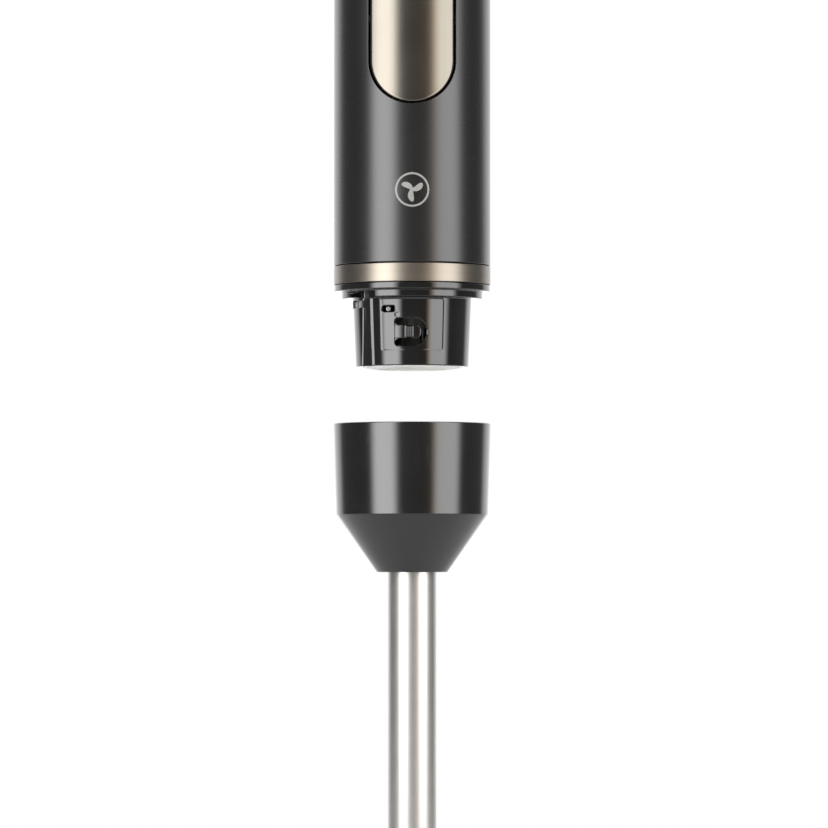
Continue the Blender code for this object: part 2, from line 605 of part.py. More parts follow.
# ---------------------------------------------------------------- motor, turning pieces
rod("armature_shaft", (0, 0, DOG_TOP + GAP), (0, 0, MOTOR_SHAFT_TOP), MOTOR_SHAFT_R, STEEL, 24)
plate("armature_core", [toothed(ROTOR_R * 0.72, ROTOR_R, 12, 0.72, 0.04), circle(MOTOR_SHAFT_R + GAP, 16)],
      CORE_Z, CORE_TOP, IRON)
bulge = ((0.78, 0.0), (0.86, 0.2), (0.86, 0.75), (0.74, 1.0))
WINDING_H = 0.0070
for mark, base, way in (("upper", CORE_TOP + GAP, 1), ("lower", CORE_Z - GAP, -1)):
    side = [(ROTOR_R * r, base + way * WINDING_H * h) for r, h in bulge]
    side = side[::-1] if way > 0 else side
    loop = side + [(MOTOR_SHAFT_R + GAP, side[-1][1]), (MOTOR_SHAFT_R + GAP, side[0][1])]
    turned(f"armature_winding_{mark}", loop, COPPER, FINE)
plate("commutator", [toothed(COMMUTATOR_R - 0.0005, COMMUTATOR_R, 14, 0.8, 0.06), circle(MOTOR_SHAFT_R + GAP, 16)],
      COMMUTATOR_Z, COMMUTATOR_Z + COMMUTATOR_L, COPPER)
fan = plate("cooling_fan", [toothed(0.0075, FAN_R, 11, 0.16, 0.06), circle(MOTOR_SHAFT_R + GAP, 16)],
            FAN_Z, FAN_Z + FAN_H, NYLON)
join(fan, plate("join_fan_disc", [circle(FAN_R - 0.0008, 33), circle(MOTOR_SHAFT_R + GAP, 16)],
                FAN_Z + FAN_H - 0.0014, FAN_Z + FAN_H + 0.0004, None))
dog = plate("drive_dog", [toothed(DOG_ROOT_R, DOG_R, SPLINE_TEETH)], DOG_Z, DOG_Z + DOG_L + 0.0005, NYLON)
join(dog, rod("join_dog_hub", (0, 0, DOG_Z + DOG_L), (0, 0, DOG_TOP), DOG_HUB_R, None, 24))

# ---------------------------------------------------------------- electronics
BOARD_TOP = CASE_TOP - CAP_SPIGOT - 0.012
box("circuit_board", (-0.0170, BOARD_FACE, BOARD_Z), (0.0170, BOARD_FACE + 0.0016, BOARD_TOP), BOARD)
BOARD_BACK = BOARD_FACE + 0.0016 + GAP
rod("capacitor", (-0.0080, BOARD_BACK + 0.0065, BOARD_Z + 0.006), (-0.0080, BOARD_BACK + 0.0065, BOARD_Z + 0.026),
    0.0062, BRONZE, 24)
sink = box("heat_sink", (0.0030, BOARD_BACK, BOARD_Z + 0.004), (0.0150, BOARD_BACK + 0.0120, BOARD_Z + 0.028), ALUMINIUM)
for fin in range(3):
    left = 0.0045 + 0.0034 * fin
    cut(sink, box(f"cut_fin_gap_{fin + 1}", (left, BOARD_BACK + 0.003, BOARD_Z), (left + 0.0018, BOARD_BACK + 0.02,
                  BOARD_Z + 0.04), None))

# ---------------------------------------------------------------- top
arc = [(CASE_R - CAP_ROUND + CAP_ROUND * math.sin(math.radians(a)), CAP_TOP - CAP_ROUND + CAP_ROUND * math.cos(math.radians(a)))
       for a in range(0, 91, 30)]
CAP_SPIGOT_R = CASE_IN - GAP
cap = turned("top_cap", [(0, CAP_TOP)] + arc + [
    (CASE_R, CAP_Z), (CAP_SPIGOT_R, CAP_Z), (CAP_SPIGOT_R, CAP_Z - CAP_SPIGOT),
    (CAP_SPIGOT_R - CAP_WALL, CAP_Z - CAP_SPIGOT), (CAP_SPIGOT_R - CAP_WALL, CAP_TOP - CAP_ROUND),
    (0, CAP_TOP - CAP_ROUND)], GRAPHITE)
cut(cap, rod("cut_dial_hole", (0, DIAL_Y, CAP_Z - 0.01), (0, DIAL_Y, CAP_TOP + 0.01), DIAL_PIN_R + RUN, None, 24),
    rod("cut_gland_hole", (0, GLAND_Y, CAP_Z - 0.01), (0, GLAND_Y, CAP_TOP + 0.01), GLAND_R + GAP, None, 32))
turned("cord_gland", [
    (GLAND_R - 0.0012, CAP_TOP + GAP + GLAND_UP), (GLAND_R, CAP_TOP + GAP + GLAND_UP - 0.0015),
    (GLAND_R, CAP_TOP + GAP + GLAND_FLANGE), (GLAND_R + 0.0018, CAP_TOP + GAP + GLAND_FLANGE),
    (GLAND_R + 0.0018, CAP_TOP + GAP), (GLAND_R, CAP_TOP + GAP), (GLAND_R, CAP_TOP - CAP_ROUND - 0.002),
    (GLAND_BORE_R, CAP_TOP - CAP_ROUND - 0.002), (GLAND_BORE_R, CAP_TOP + GAP + GLAND_UP)],
    RUBBER, FINE, (0, GLAND_Y))
dial_axis = axis_empty("dial_axis", (0, DIAL_Y, CAP_TOP))
DIAL_Z = CAP_TOP + GAP
turned("speed_dial", [
    (0, DIAL_Z + DIAL_H), (DIAL_R - 0.0030, DIAL_Z + DIAL_H), (DIAL_R - 0.0014, DIAL_Z + DIAL_H - 0.0010),
    (DIAL_R - 0.0008, DIAL_Z + DIAL_H - 0.0024), (DIAL_R, DIAL_Z), (DIAL_PIN_R + 0.0004, DIAL_Z),
    (DIAL_PIN_R + 0.0004, DIAL_Z + 0.0035), (0, DIAL_Z + 0.0035)],
    BRONZE, 48, (0, DIAL_Y), (0, DIAL_Y, CAP_TOP), dial_axis)
POT_TOP = CAP_Z - 0.0006
rod("potentiometer", (0, DIAL_Y, POT_TOP - POT_H), (0, DIAL_Y, POT_TOP), POT_R, GREY, 28)
rod("dial_spindle", (0, DIAL_Y, POT_TOP + RUN), (0, DIAL_Y, DIAL_Z + 0.0032), DIAL_PIN_R - 0.0002, STEEL, 20,
    (0, DIAL_Y, CAP_TOP), dial_axis)

# ---------------------------------------------------------------- turning seal in the neck's bore
turned("seal_ring", [
    (COLLAR_BORE_R - RUN, NECK_END + 0.0040), (COLLAR_BORE_R - RUN, NECK_END + 0.0005),
    (SOCKET_R + 0.0027, NECK_END + 0.0010), (SOCKET_R + 0.0027, NECK_END + 0.0035)], RUBBER, FINE)

# ---------------------------------------------------------------- shaft housing
CUP_EDGE = 0.0007
shoulder = CUP_R - CUP_DRAFT
SHOULDER_ROUND = 0.0016
CONE_IN_R = TUBE_R + GAP
slope = (shoulder - CONE_END_R) / CONE_H
cup = turned("shaft_cup", [
    (CUP_R - CUP_EDGE, RIM), (CUP_R, RIM - CUP_EDGE), (shoulder, SHOULDER + SHOULDER_ROUND),
    (shoulder - 0.0002, SHOULDER + SHOULDER_ROUND / 2), (shoulder - 0.0007, SHOULDER),
    (shoulder - slope * SHOULDER_ROUND, SHOULDER - SHOULDER_ROUND),
    (CONE_END_R, CONE_END), (CONE_IN_R, CONE_END), (CONE_IN_R, TUBE_TOP - 0.0030),
    (CUP_IN - 0.0035, SHOULDER - 0.0009), (CUP_IN - 0.0002, SHOULDER), (CUP_IN, SHOULDER + 0.0010), (CUP_IN, RIM)], GLOSS)
for side in (0, 180):
    mark = "a" if side == 0 else "b"
    join(cup, box(f"join_lug_{mark}", (LUG_TIP, -LUG_W / 2, RIM - LUG_UNDER_RIM - LUG_H),
                  (CUP_IN + CUP_WALL / 3, LUG_W / 2, RIM - LUG_UNDER_RIM), None, spin(LUG_ANGLE + side)))

HOLD_R = SPINDLE_R + 0.0022
insert = turned("coupler_insert", [
    (INSERT_R, RIM - INSERT_TOP), (INSERT_R, SHOULDER + GAP), (HOLD_R + GAP, SHOULDER + GAP), (HOLD_R + GAP, FLOOR),
    (INSERT_IN, FLOOR), (INSERT_IN, RIM - INSERT_TOP)], GREY)
turned("steel_tube", [(TUBE_R, TUBE_TOP), (TUBE_R, TUBE_END), (TUBE_IN, TUBE_END), (TUBE_IN, TUBE_TOP)], STEEL, 40)
turned("bushing_upper", [
    (HOLD_R, FLOOR - GAP), (HOLD_R, SHOULDER), (SPINDLE_R + RUN, SHOULDER), (SPINDLE_R + RUN, FLOOR - GAP)], NYLON, FINE)
MIDDLE_Z = (TUBE_TOP + TUBE_END) / 2
turned("bushing_middle", [
    (TUBE_IN - GAP, MIDDLE_Z + BUSH_H / 2), (TUBE_IN - GAP, MIDDLE_Z - BUSH_H / 2),
    (SPINDLE_R + RUN, MIDDLE_Z - BUSH_H / 2), (SPINDLE_R + RUN, MIDDLE_Z + BUSH_H / 2)], NYLON, FINE)
LOW_BUSH_Z = TUBE_END + 0.001
turned("bushing_lower", [
    (TUBE_IN - GAP, LOW_BUSH_Z + BUSH_H), (TUBE_IN - GAP, LOW_BUSH_Z), (SPINDLE_R + RUN, LOW_BUSH_Z),
    (SPINDLE_R + RUN, LOW_BUSH_Z + BUSH_H)], COPPER, FINE)

# ---------------------------------------------------------------- bell guard, with a domed roof and a skirt
SKIRT_TOP = SHAFT_END + BELL_SKIRT
DOME_TOP = BELL_TOP - BELL_NECK_L
dome = []
for i in range(6):
    t = i / 5
    ease = t * t * (3 - 2 * t)
    dome.append((TUBE_R + (BELL_R - TUBE_R) * (0.35 * t + 0.65 * ease), DOME_TOP + (SKIRT_TOP - DOME_TOP) * t ** 1.35))
inside = [(r - BELL_WALL, z - BELL_WALL * 0.8) for r, z in dome]
SEAL_R = TUBE_IN - BELL_WALL * 0.2
ROOF_Z = DOME_TOP - BELL_WALL
bell = turned("bell_guard", [(TUBE_R, BELL_TOP)] + dome + [(BELL_R, SHAFT_END), (BELL_R - BELL_WALL, SHAFT_END)]
              + inside[::-1][:-1] + [(SEAL_R + GAP, ROOF_Z), (SEAL_R + GAP, BELL_TOP)], STEEL)
for i in range(4):
    turn = spin(90 * i)
    cut(bell, plate(f"cut_scallop_{i + 1}", [circle(SCALLOP_R, 24, 0, SHAFT_END)], -BELL_R - 0.01, -BELL_R / 2, None,
                    turn @ UPRIGHT))
    vent = stadium(VENT_R, (SKIRT_TOP + DOME_TOP) / 2 - VENT_L / 2, (SKIRT_TOP + DOME_TOP) / 2 + VENT_L / 2, 8)
    cut(bell, plate(f"cut_bell_vent_{i + 1}", [vent], -BELL_R - 0.01, -TUBE_R - 0.001, None, spin(90 * i + 45) @ UPRIGHT))
turned("lip_seal", [
    (SEAL_R, ROOF_Z + SEAL_H), (SEAL_R, ROOF_Z + 0.0004), (SPINDLE_R + RUN, ROOF_Z + 0.0004),
    (SPINDLE_R + RUN, ROOF_Z + SEAL_H)], RUBBER, FINE)

# ---------------------------------------------------------------- spindle
spindle_axis = axis_empty("spindle_axis", (0, 0, RIM))
SOCKET_Z = FLOOR + 0.0007
SOCKET_TOP = SOCKET_Z + SOCKET_H
socket = turned("drive_socket", [
    (0, SOCKET_TOP), (SOCKET_R - 0.0006, SOCKET_TOP), (SOCKET_R, SOCKET_TOP - 0.0006), (SOCKET_R, SOCKET_Z),
    (SPINDLE_R + GAP, SOCKET_Z), (SPINDLE_R + GAP, SOCKET_Z + 0.0020), (0, SOCKET_Z + 0.0020)],
    NYLON, FINE, (0, 0), (0, 0, RIM), spindle_axis)
cut(socket, plate("cut_socket_spline", [toothed(DOG_ROOT_R + MESH_SLIP, DOG_R + MESH_SLIP, SPLINE_TEETH, 0.60)],
                  SOCKET_TOP - SOCKET_DEPTH, SOCKET_TOP + 0.002, None))
SPINDLE_END = BLADE_Z - NUT_H - 0.0012
rod("spindle_rod", (0, 0, SOCKET_Z + 0.0017), (0, 0, SPINDLE_END), SPINDLE_R, STEEL, 24, (0, 0, RIM), spindle_axis)
HOLE = circle(SPINDLE_R + GAP / 2, 24)
turned("blade_washer", [
    (WASHER_R, BLADE_Z + BLADE_T + GAP + WASHER_H), (WASHER_R, BLADE_Z + BLADE_T + GAP),
    (SPINDLE_R + GAP / 2, BLADE_Z + BLADE_T + GAP), (SPINDLE_R + GAP / 2, BLADE_Z + BLADE_T + GAP + WASHER_H)],
    STEEL, FINE, (0, 0), (0, 0, RIM), spindle_axis)
BEND_R = BLADE_R * 0.45
outline = []
for way in (1, -1):
    hub = BLADE_W / 2
    wing = [(BEND_R, -hub * 0.95), (BLADE_R * 0.8, -hub * 0.75), (BLADE_R * 0.97, -hub * 0.2), (BLADE_R, hub * 0.45),
            (BLADE_R * 0.93, hub * 0.62), (BEND_R, hub * 0.95)]
    outline += [(x * way, y * way) for x, y in wing]
blade = plate("blade", [outline, HOLE], BLADE_Z, BLADE_Z + BLADE_T, STEEL, None, (0, 0, RIM), spindle_axis)
edit = bmesh.new()
edit.from_mesh(blade.data)
for way in (1, -1):
    whole = edit.verts[:] + edit.edges[:] + edit.faces[:]
    bmesh.ops.bisect_plane(edit, geom=whole, dist=1e-7, plane_co=(BEND_R * way, 0, 0), plane_no=(1, 0, 0))
for vert in edit.verts:
    over = abs(vert.co.x) - BEND_R
    if over > 0:
        vert.co.z += math.copysign(BLADE_BEND, vert.co.x) * over / (BLADE_R - BEND_R)
bmesh.ops.triangulate(edit, faces=edit.faces)
edit.to_mesh(blade.data)
edit.free()
plate("blade_nut", [circle(NUT_R, 6), HOLE], BLADE_Z - GAP - NUT_H, BLADE_Z - GAP, STEEL, None, (0, 0, RIM), spindle_axis)
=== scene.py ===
import json
import math

import bmesh
import bpy
import numpy as np
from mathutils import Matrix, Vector


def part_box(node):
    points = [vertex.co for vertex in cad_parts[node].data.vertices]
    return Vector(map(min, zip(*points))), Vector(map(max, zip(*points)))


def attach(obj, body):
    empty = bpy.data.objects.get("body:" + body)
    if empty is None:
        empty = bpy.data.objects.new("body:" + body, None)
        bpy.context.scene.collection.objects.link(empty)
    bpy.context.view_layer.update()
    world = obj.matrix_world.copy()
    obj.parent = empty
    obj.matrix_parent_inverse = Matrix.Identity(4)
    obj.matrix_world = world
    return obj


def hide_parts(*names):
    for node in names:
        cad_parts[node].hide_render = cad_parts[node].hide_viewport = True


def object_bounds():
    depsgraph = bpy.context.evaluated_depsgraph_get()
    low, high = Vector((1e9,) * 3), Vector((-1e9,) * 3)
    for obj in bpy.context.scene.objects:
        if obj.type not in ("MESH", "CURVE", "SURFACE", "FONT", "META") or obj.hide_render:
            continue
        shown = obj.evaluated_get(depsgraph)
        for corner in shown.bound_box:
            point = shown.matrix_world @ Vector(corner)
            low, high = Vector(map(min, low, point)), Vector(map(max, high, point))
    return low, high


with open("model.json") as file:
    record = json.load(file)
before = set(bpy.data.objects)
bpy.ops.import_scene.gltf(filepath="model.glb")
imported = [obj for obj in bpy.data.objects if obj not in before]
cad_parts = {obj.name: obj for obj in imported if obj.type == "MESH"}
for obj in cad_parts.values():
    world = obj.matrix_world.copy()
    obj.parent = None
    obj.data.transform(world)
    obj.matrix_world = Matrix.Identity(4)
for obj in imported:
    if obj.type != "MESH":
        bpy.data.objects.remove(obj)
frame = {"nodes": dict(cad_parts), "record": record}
CAD_BOX = [list(map(float, corner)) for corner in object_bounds()]
MOUNTS = {mount["name"]: Vector(mount["pos_m"]) for mount in frame["record"]["mounts"]}
SEAT = MOUNTS["attachment_seat"].z
FRONT, QUARTER, TURN = math.radians(270), math.pi / 2, 2 * math.pi


# ---------- shader maths and nodes
class Value:
    """One socket of a shader tree. Python maths on it adds Math nodes."""

    def __init__(self, recipe, socket):
        self.recipe, self.socket = recipe, socket

    def maths(self, operation, *terms, clamp=False):
        return self.recipe.node("ShaderNodeMath", {"operation": operation, "use_clamp": clamp},
                                dict(enumerate(terms)))

    def __add__(self, other): return self.maths("ADD", self, other)
    def __radd__(self, other): return self.maths("ADD", other, self)
    def __sub__(self, other): return self.maths("SUBTRACT", self, other)
    def __rsub__(self, other): return self.maths("SUBTRACT", other, self)
    def __mul__(self, other): return self.maths("MULTIPLY", self, other)
    def __rmul__(self, other): return self.maths("MULTIPLY", other, self)
    def __neg__(self): return self.maths("MULTIPLY", self, -1.0)
    def size(self): return self.maths("ABSOLUTE", self)
    def clamped(self): return self.maths("ADD", self, 0.0, clamp=True)

    def between(self, low, high):
        """0 under low, 1 over high, and smooth from one to the other."""
        return self.recipe.node("ShaderNodeMapRange", {"interpolation_type": "SMOOTHSTEP"},
                                {0: self, 1: low, 2: high, 3: 0.0, 4: 1.0})


class Recipe:
    """A node tree of a material or of the world, filled by node()."""

    def __init__(self, owner):
        owner.use_nodes = True
        self.owner, self.tree = owner, owner.node_tree

    def node(self, kind, settings=None, sockets=None, out=0):
        made = self.tree.nodes.new(kind)
        for key, value in (settings or {}).items():
            setattr(made, key, value)
        for key, value in (sockets or {}).items():
            if isinstance(value, Value):
                self.tree.links.new(value.socket, made.inputs[key])
            else:
                made.inputs[key].default_value = value
        return Value(self, made.outputs[out])

    def noise(self, at, scale, detail=2.0, roughness=0.5):
        return self.node("ShaderNodeTexNoise", {}, {"Vector": at, "Scale": scale, "Detail": detail,
                                                    "Roughness": roughness})

    def stretched(self, at, x, y, z):
        return self.node("ShaderNodeMapping", {}, {"Vector": at, "Scale": (x, y, z)})

    def mixed(self, share, first, second):
        return self.node("ShaderNodeMix", {"data_type": "RGBA"}, {0: share, 6: first, 7: second}, 2)

    def bump(self, strength, distance, height):
        return self.node("ShaderNodeBump", {}, {"Strength": strength, "Distance": distance, "Height": height})

    def surface(self, tint, rough, bump, fixed=None):
        shader = self.tree.nodes["Principled BSDF"]
        for key, value in (fixed or {}).items():
            shader.inputs[key].default_value = value
        for key, value in {"Base Color": tint, "Roughness": rough.clamped(), "Normal": bump}.items():
            self.tree.links.new(value.socket, shader.inputs[key])
        return self.owner


def shade(colour, times):
    return (*[c * times for c in colour], 1)


def grey(level):
    return (level, level, level, 1)


def recipe(name):
    made = Recipe(bpy.data.materials.new(name))
    made.at = made.node("ShaderNodeTexCoord", {}, {}, 3)
    return made


def moulded(name, colour, roughness, grain, depth, spread):
    """Moulded plastic: spark-eroded grain, faint flow clouds, thin scuffs, and rub marks that polish it."""
    r = recipe(name)
    fine = r.noise(r.at, grain, 2.0, 0.6)
    flow = r.noise(r.stretched(r.at, 1, 1, 0.35), 42.0, 3.0)
    rub = r.noise(r.at, 120.0, 4.0, 0.7).between(0.56, 0.74)
    scuffs = r.noise(r.stretched(r.at, 900, 900, 35), 1.0, 3.0, 0.7).between(0.66, 0.72)
    tone = (0.6 * fine + 0.4 * flow).between(0.3, 0.7)
    tint = r.mixed(tone, shade(colour, 1 - spread), shade(colour, 1 + spread))
    tint = r.mixed(scuffs * 0.10, tint, shade(colour, 1.5))
    rough = roughness + (fine - 0.5) * 0.05 + (flow - 0.5) * 0.05 - rub * 0.015 + scuffs * 0.03
    return r.surface(tint, rough, r.bump(0.55, depth, fine))


def polished_plastic(name, colour, roughness, specular=0.5):
    """Gloss plastic: very slight orange peel, fine hairlines and dust that dulls it."""
    r = recipe(name)
    peel = r.noise(r.at, 260.0)
    hair = r.noise(r.stretched(r.at, 1400, 1400, 60), 1.0, 2.0, 0.8).between(0.64, 0.70)
    dust = r.noise(r.at, 1800.0, 3.0, 0.8).between(0.66, 0.74)
    cloud = r.noise(r.at, 55.0, 3.0)
    tint = r.mixed(cloud.between(0.3, 0.7), shade(colour, 0.8), shade(colour, 1.2))
    tint = r.mixed(dust * 0.04 + hair * 0.02, tint, grey(0.10))
    rough = roughness + cloud * 0.04 + hair * 0.05 + dust * 0.08
    return r.surface(tint, rough, r.bump(0.25, 0.00002, peel + 0.2 * hair), {"Specular IOR Level": specular})


def brushed(name, colour, roughness, across, lines, spread, depth, tarnish):
    """Metal with fine brush lines, drawn out where the pattern's scale is small."""
    r = recipe(name)
    grain = r.noise(r.stretched(r.at, *across), 1.0, 3.0, 0.65)
    coarse = r.noise(r.stretched(r.at, *[0.22 * a for a in across]), 1.0)
    cloud = r.noise(r.at, 60.0, 3.0, 0.6)
    nick = r.noise(r.at, 900.0, 4.0, 0.8).between(0.70, 0.75)
    tone = (0.65 * grain + 0.35 * coarse).between(0.25, 0.75)
    tint = r.mixed(tone, shade(colour, 1 - spread), shade(colour, 1 + spread))
    tint = r.mixed(cloud.between(0.45, 0.8) * tarnish, tint, shade(colour, 0.6))
    tint = r.mixed(nick * 0.3, tint, shade(colour, 0.5))
    rough = roughness + (grain - 0.5) * 0.16 * lines + (cloud - 0.5) * 0.08 + nick * 0.1
    return r.surface(tint, rough, r.bump(0.5 * lines, depth, grain + 0.5 * coarse), {"Metallic": 1.0})


def rubbery(name, colour):
    """Matt rubber with a fine skin and a pale bloom."""
    r = recipe(name)
    fine = r.noise(r.at, 1500.0, 4.0, 0.7)
    bloom = r.noise(r.at, 90.0, 3.0).between(0.45, 0.75)
    tint = r.mixed(fine, shade(colour, 0.8), shade(colour, 1.3))
    tint = r.mixed(bloom * 0.15, tint, grey(0.12))
    return r.surface(tint, 0.62 + fine * 0.25, r.bump(0.6, 0.00004, fine), {"Specular IOR Level": 0.3})


def stacked(name, colour, pitch, metallic):
    """Sheets or windings laid on each other along Z."""
    r = recipe(name)
    phase = r.node("ShaderNodeSeparateXYZ", {}, {0: r.at}, 2) * (TURN / pitch)
    sheets = phase.maths("SINE", phase)
    grime = r.noise(r.at, 300.0, 4.0, 0.7)
    tone = (0.5 + 0.35 * sheets + 0.3 * (grime - 0.5)).clamped()
    tint = r.mixed(tone, shade(colour, 0.55), shade(colour, 1.15))
    return r.surface(tint, 0.34 + grime * 0.2, r.bump(0.7, pitch * 0.25, sheets), {"Metallic": metallic})


GRAPHITE = moulded("satin_graphite", (0.0026, 0.0026, 0.0027), 0.28, 2400.0, 0.000003, 0.10)
BRONZE = brushed("champagne_bronze", (0.148, 0.132, 0.111), 0.34, (30, 30, 2600), 0.6, 0.06, 0.000004, 0.08)
BRONZE_PLATE = brushed("satin_bronze_plate", (0.108, 0.099, 0.084), 0.24, (2400, 30, 30), 0.4, 0.05,
                       0.000003, 0.06)
GLOSS = polished_plastic("gloss_black", (0.0028, 0.0028, 0.0030), 0.07)
CUP_BLACK = polished_plastic("cup_black", (0.0028, 0.0028, 0.0029), 0.15, 0.55)
PALE = moulded("pale_collar", (0.72, 0.72, 0.70), 0.38, 1900.0, 0.00001, 0.05)
PIN_GREY = moulded("pin_grey", (0.19, 0.19, 0.185), 0.34, 1900.0, 0.00001, 0.06)
GREY = moulded("grey_plastic", (0.035, 0.035, 0.035), 0.45, 1700.0, 0.00002, 0.10)
RUBBER = rubbery("black_rubber", (0.006, 0.006, 0.006))
STEEL = brushed("polished_steel", (0.35, 0.342, 0.328), 0.36, (26, 26, 5600), 0.5, 0.05, 0.000004, 0.06)
HARD_STEEL = brushed("ground_steel", (0.50, 0.50, 0.49), 0.22, (3000, 60, 60), 0.8, 0.10, 0.00001, 0.10)
IRON = stacked("laminated_iron", (0.16, 0.16, 0.17), 0.0005, 0.8)
COPPER = stacked("enamelled_copper", (0.42, 0.17, 0.07), 0.0004, 0.7)
CARBON = moulded("carbon", (0.010, 0.010, 0.010), 0.6, 1200.0, 0.00005, 0.25)
BOARD = moulded("circuit_board", (0.012, 0.05, 0.02), 0.4, 900.0, 0.00003, 0.2)
CAST = brushed("cast_aluminium", (0.40, 0.41, 0.42), 0.38, (700, 700, 700), 0.8, 0.12, 0.00003, 0.2)
NYLON = moulded("white_nylon", (0.25, 0.25, 0.23), 0.42, 1500.0, 0.00002, 0.06)
PRINT = moulded("pale_print", (0.135, 0.135, 0.13), 0.42, 2600.0, 0.00001, 0.08)

SLOT_FINISH = {
    "graphite": GRAPHITE, "champagne_bronze": BRONZE, "gloss_black": GLOSS, "pale_plastic": PALE,
    "grey_plastic": GREY, "rubber": RUBBER, "stainless_steel": STEEL, "spring_steel": HARD_STEEL,
    "laminated_iron": IRON, "copper": COPPER, "carbon": CARBON, "circuit_board": BOARD, "aluminium": CAST,
    "white_nylon": NYLON,
}
BLACKENED = brushed("blackened_steel", (0.030, 0.030, 0.030), 0.36, (60, 60, 1500), 0.4, 0.1, 0.000004, 0.1)
NODE_FINISH = {"trigger_pivot_pin": BLACKENED, "trigger_bracket": BLACKENED}
for part in frame["record"]["subparts"]:
    holder = frame["nodes"][part["node"]]
    holder.data.materials.clear()
    holder.data.materials.append(NODE_FINISH.get(part["node"], SLOT_FINISH[part["material_slot"]]))


# ---------- making pieces
def placed(name, data):
    """A new object of the scene."""
    obj = bpy.data.objects.new(name, data)
    bpy.context.scene.collection.objects.link(obj)
    return obj


def smoothed(mesh, finish, sharp):
    """The mesh with one finish, shaded smooth but for edges over the sharp angle."""
    mesh.materials.clear()
    mesh.materials.append(finish)
    mesh.shade_smooth()
    mesh.set_sharp_from_angle(angle=math.radians(sharp))
    return mesh


def piece(name, mesh, finish, body, slot, *nodes, sharp=32.0):
    """The mesh as a piece of the object, riding on its body in place of the nodes."""
    obj = placed(name, smoothed(mesh, finish, sharp))
    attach(obj, body)
    if nodes:
        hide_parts(*nodes)
    return obj


def mesh_of(name, points, faces):
    """A closed mesh with its doubles merged and its faces turned outwards."""
    mesh = bpy.data.meshes.new(name)
    mesh.from_pydata([tuple(map(float, p)) for p in points], [], [tuple(map(int, f)) for f in faces])
    work = bmesh.new()
    work.from_mesh(mesh)
    bmesh.ops.remove_doubles(work, verts=work.verts, dist=1e-7)
    bmesh.ops.dissolve_degenerate(work, edges=work.edges, dist=1e-8)
    bmesh.ops.recalc_face_normals(work, faces=work.faces)
    work.to_mesh(mesh)
    work.free()
    return mesh


def grid_faces(rows, columns, start=0, round_columns=False, round_rows=False):
    """Quads over a grid of points stored row by row."""
    faces = []
    for i in range(rows if round_rows else rows - 1):
        for j in range(columns if round_columns else columns - 1):
            a, b = start + i * columns, start + (i + 1) % rows * columns
            k = (j + 1) % columns
            faces.append((a + j, a + k, b + k, b + j))
    return faces


def rounded(corners, steps=5, guard=0.00025):
    """A closed profile from (radius, z, fillet) corners. Points beside a fillet keep the flats flat."""
    made, count = [], len(corners)
    for i, (r, z, fillet) in enumerate(corners):
        here = Vector((r, z))
        back = Vector(corners[i - 1][:2]) - here
        on = Vector(corners[(i + 1) % count][:2]) - here
        if fillet <= 0:
            made.append(here)
            continue
        half = back.angle(on) / 2
        reach = min(fillet / math.tan(half), back.length * 0.45, on.length * 0.45)
        fillet = reach * math.tan(half)
        middle = here + (back.normalized() + on.normalized()).normalized() * (fillet / math.sin(half))
        first, last = here + back.normalized() * reach, here + on.normalized() * reach
        start, end = first - middle, last - middle
        turn = start.angle_signed(end)
        if back.length > 4 * reach + 2 * guard:
            made.append(first + back.normalized() * guard)
        for k in range(steps + 1):
            angle = turn * k / steps
            c, s = math.cos(-angle), math.sin(-angle)
            made.append(middle + Vector((start.x * c - start.y * s, start.x * s + start.y * c)))
        if on.length > 4 * reach + 2 * guard:
            made.append(last + on.normalized() * guard)
    return [(p.x, p.y) for p in made]


def ring_points(radius, angles, z, x=0.0, y=0.0):
    return list(zip(x + radius * np.cos(angles), y + radius * np.sin(angles), [z] * len(angles)))


def lathe(name, profile, around=192, centre=(0.0, 0.0)):
    """A closed (radius, z) profile turned about Z."""
    angles = np.linspace(0, TURN, around, endpoint=False)
    points = [p for r, z in profile for p in ring_points(r, angles, z, *centre)]
    return mesh_of(name, points, grid_faces(len(profile), around, 0, True, True))


def rod(name, radius, low, high, around, centre=(0.0, 0.0)):
    """A plain cylinder along Z."""
    return lathe(name, [(0, low), (radius, low), (radius, high), (0, high)], around, centre)


def arc_points(x, z, radius, start, end, steps):
    """Points on an arc, both ends included."""
    return [(x + radius * math.cos(a), z + radius * math.sin(a)) for a in np.linspace(start, end, steps)]


def moved(mesh, place):
    """The mesh with every point put where place(x, y, z) says."""
    for vert in mesh.vertices:
        vert.co = place(*vert.co)
    return mesh


def turned(mesh, angle):
    c, s = math.cos(angle), math.sin(angle)
    return moved(mesh, lambda x, y, z: (x * c - y * s, x * s + y * c, z))


def drawn(name, work):
    """The bmesh as a new mesh."""
    made = bpy.data.meshes.new(name)
    work.to_mesh(made)
    work.free()
    return made


def joined(name, *meshes):
    """Several meshes as one."""
    work = bmesh.new()
    for mesh in meshes:
        work.from_mesh(mesh)
        bpy.data.meshes.remove(mesh)
    return drawn(name, work)


def block(name, low, high, round_by=0.0002, turn=0.0):
    """A box with rounded edges, turned about Z."""
    work = bmesh.new()
    bmesh.ops.create_cube(work, size=1)
    low, high = Vector(low), Vector(high)
    for vert in work.verts:
        vert.co = [(a + b) / 2 + c * (b - a) for a, b, c in zip(low, high, vert.co)]
    bmesh.ops.bevel(work, geom=work.edges[:], offset=round_by, segments=2, affect="EDGES", profile=0.5)
    return turned(drawn(name, work), turn)


def baked(obj):
    """The object's mesh with its modifiers applied."""
    graph = bpy.context.evaluated_depsgraph_get()
    graph.update()
    return bpy.data.meshes.new_from_object(obj.evaluated_get(graph))


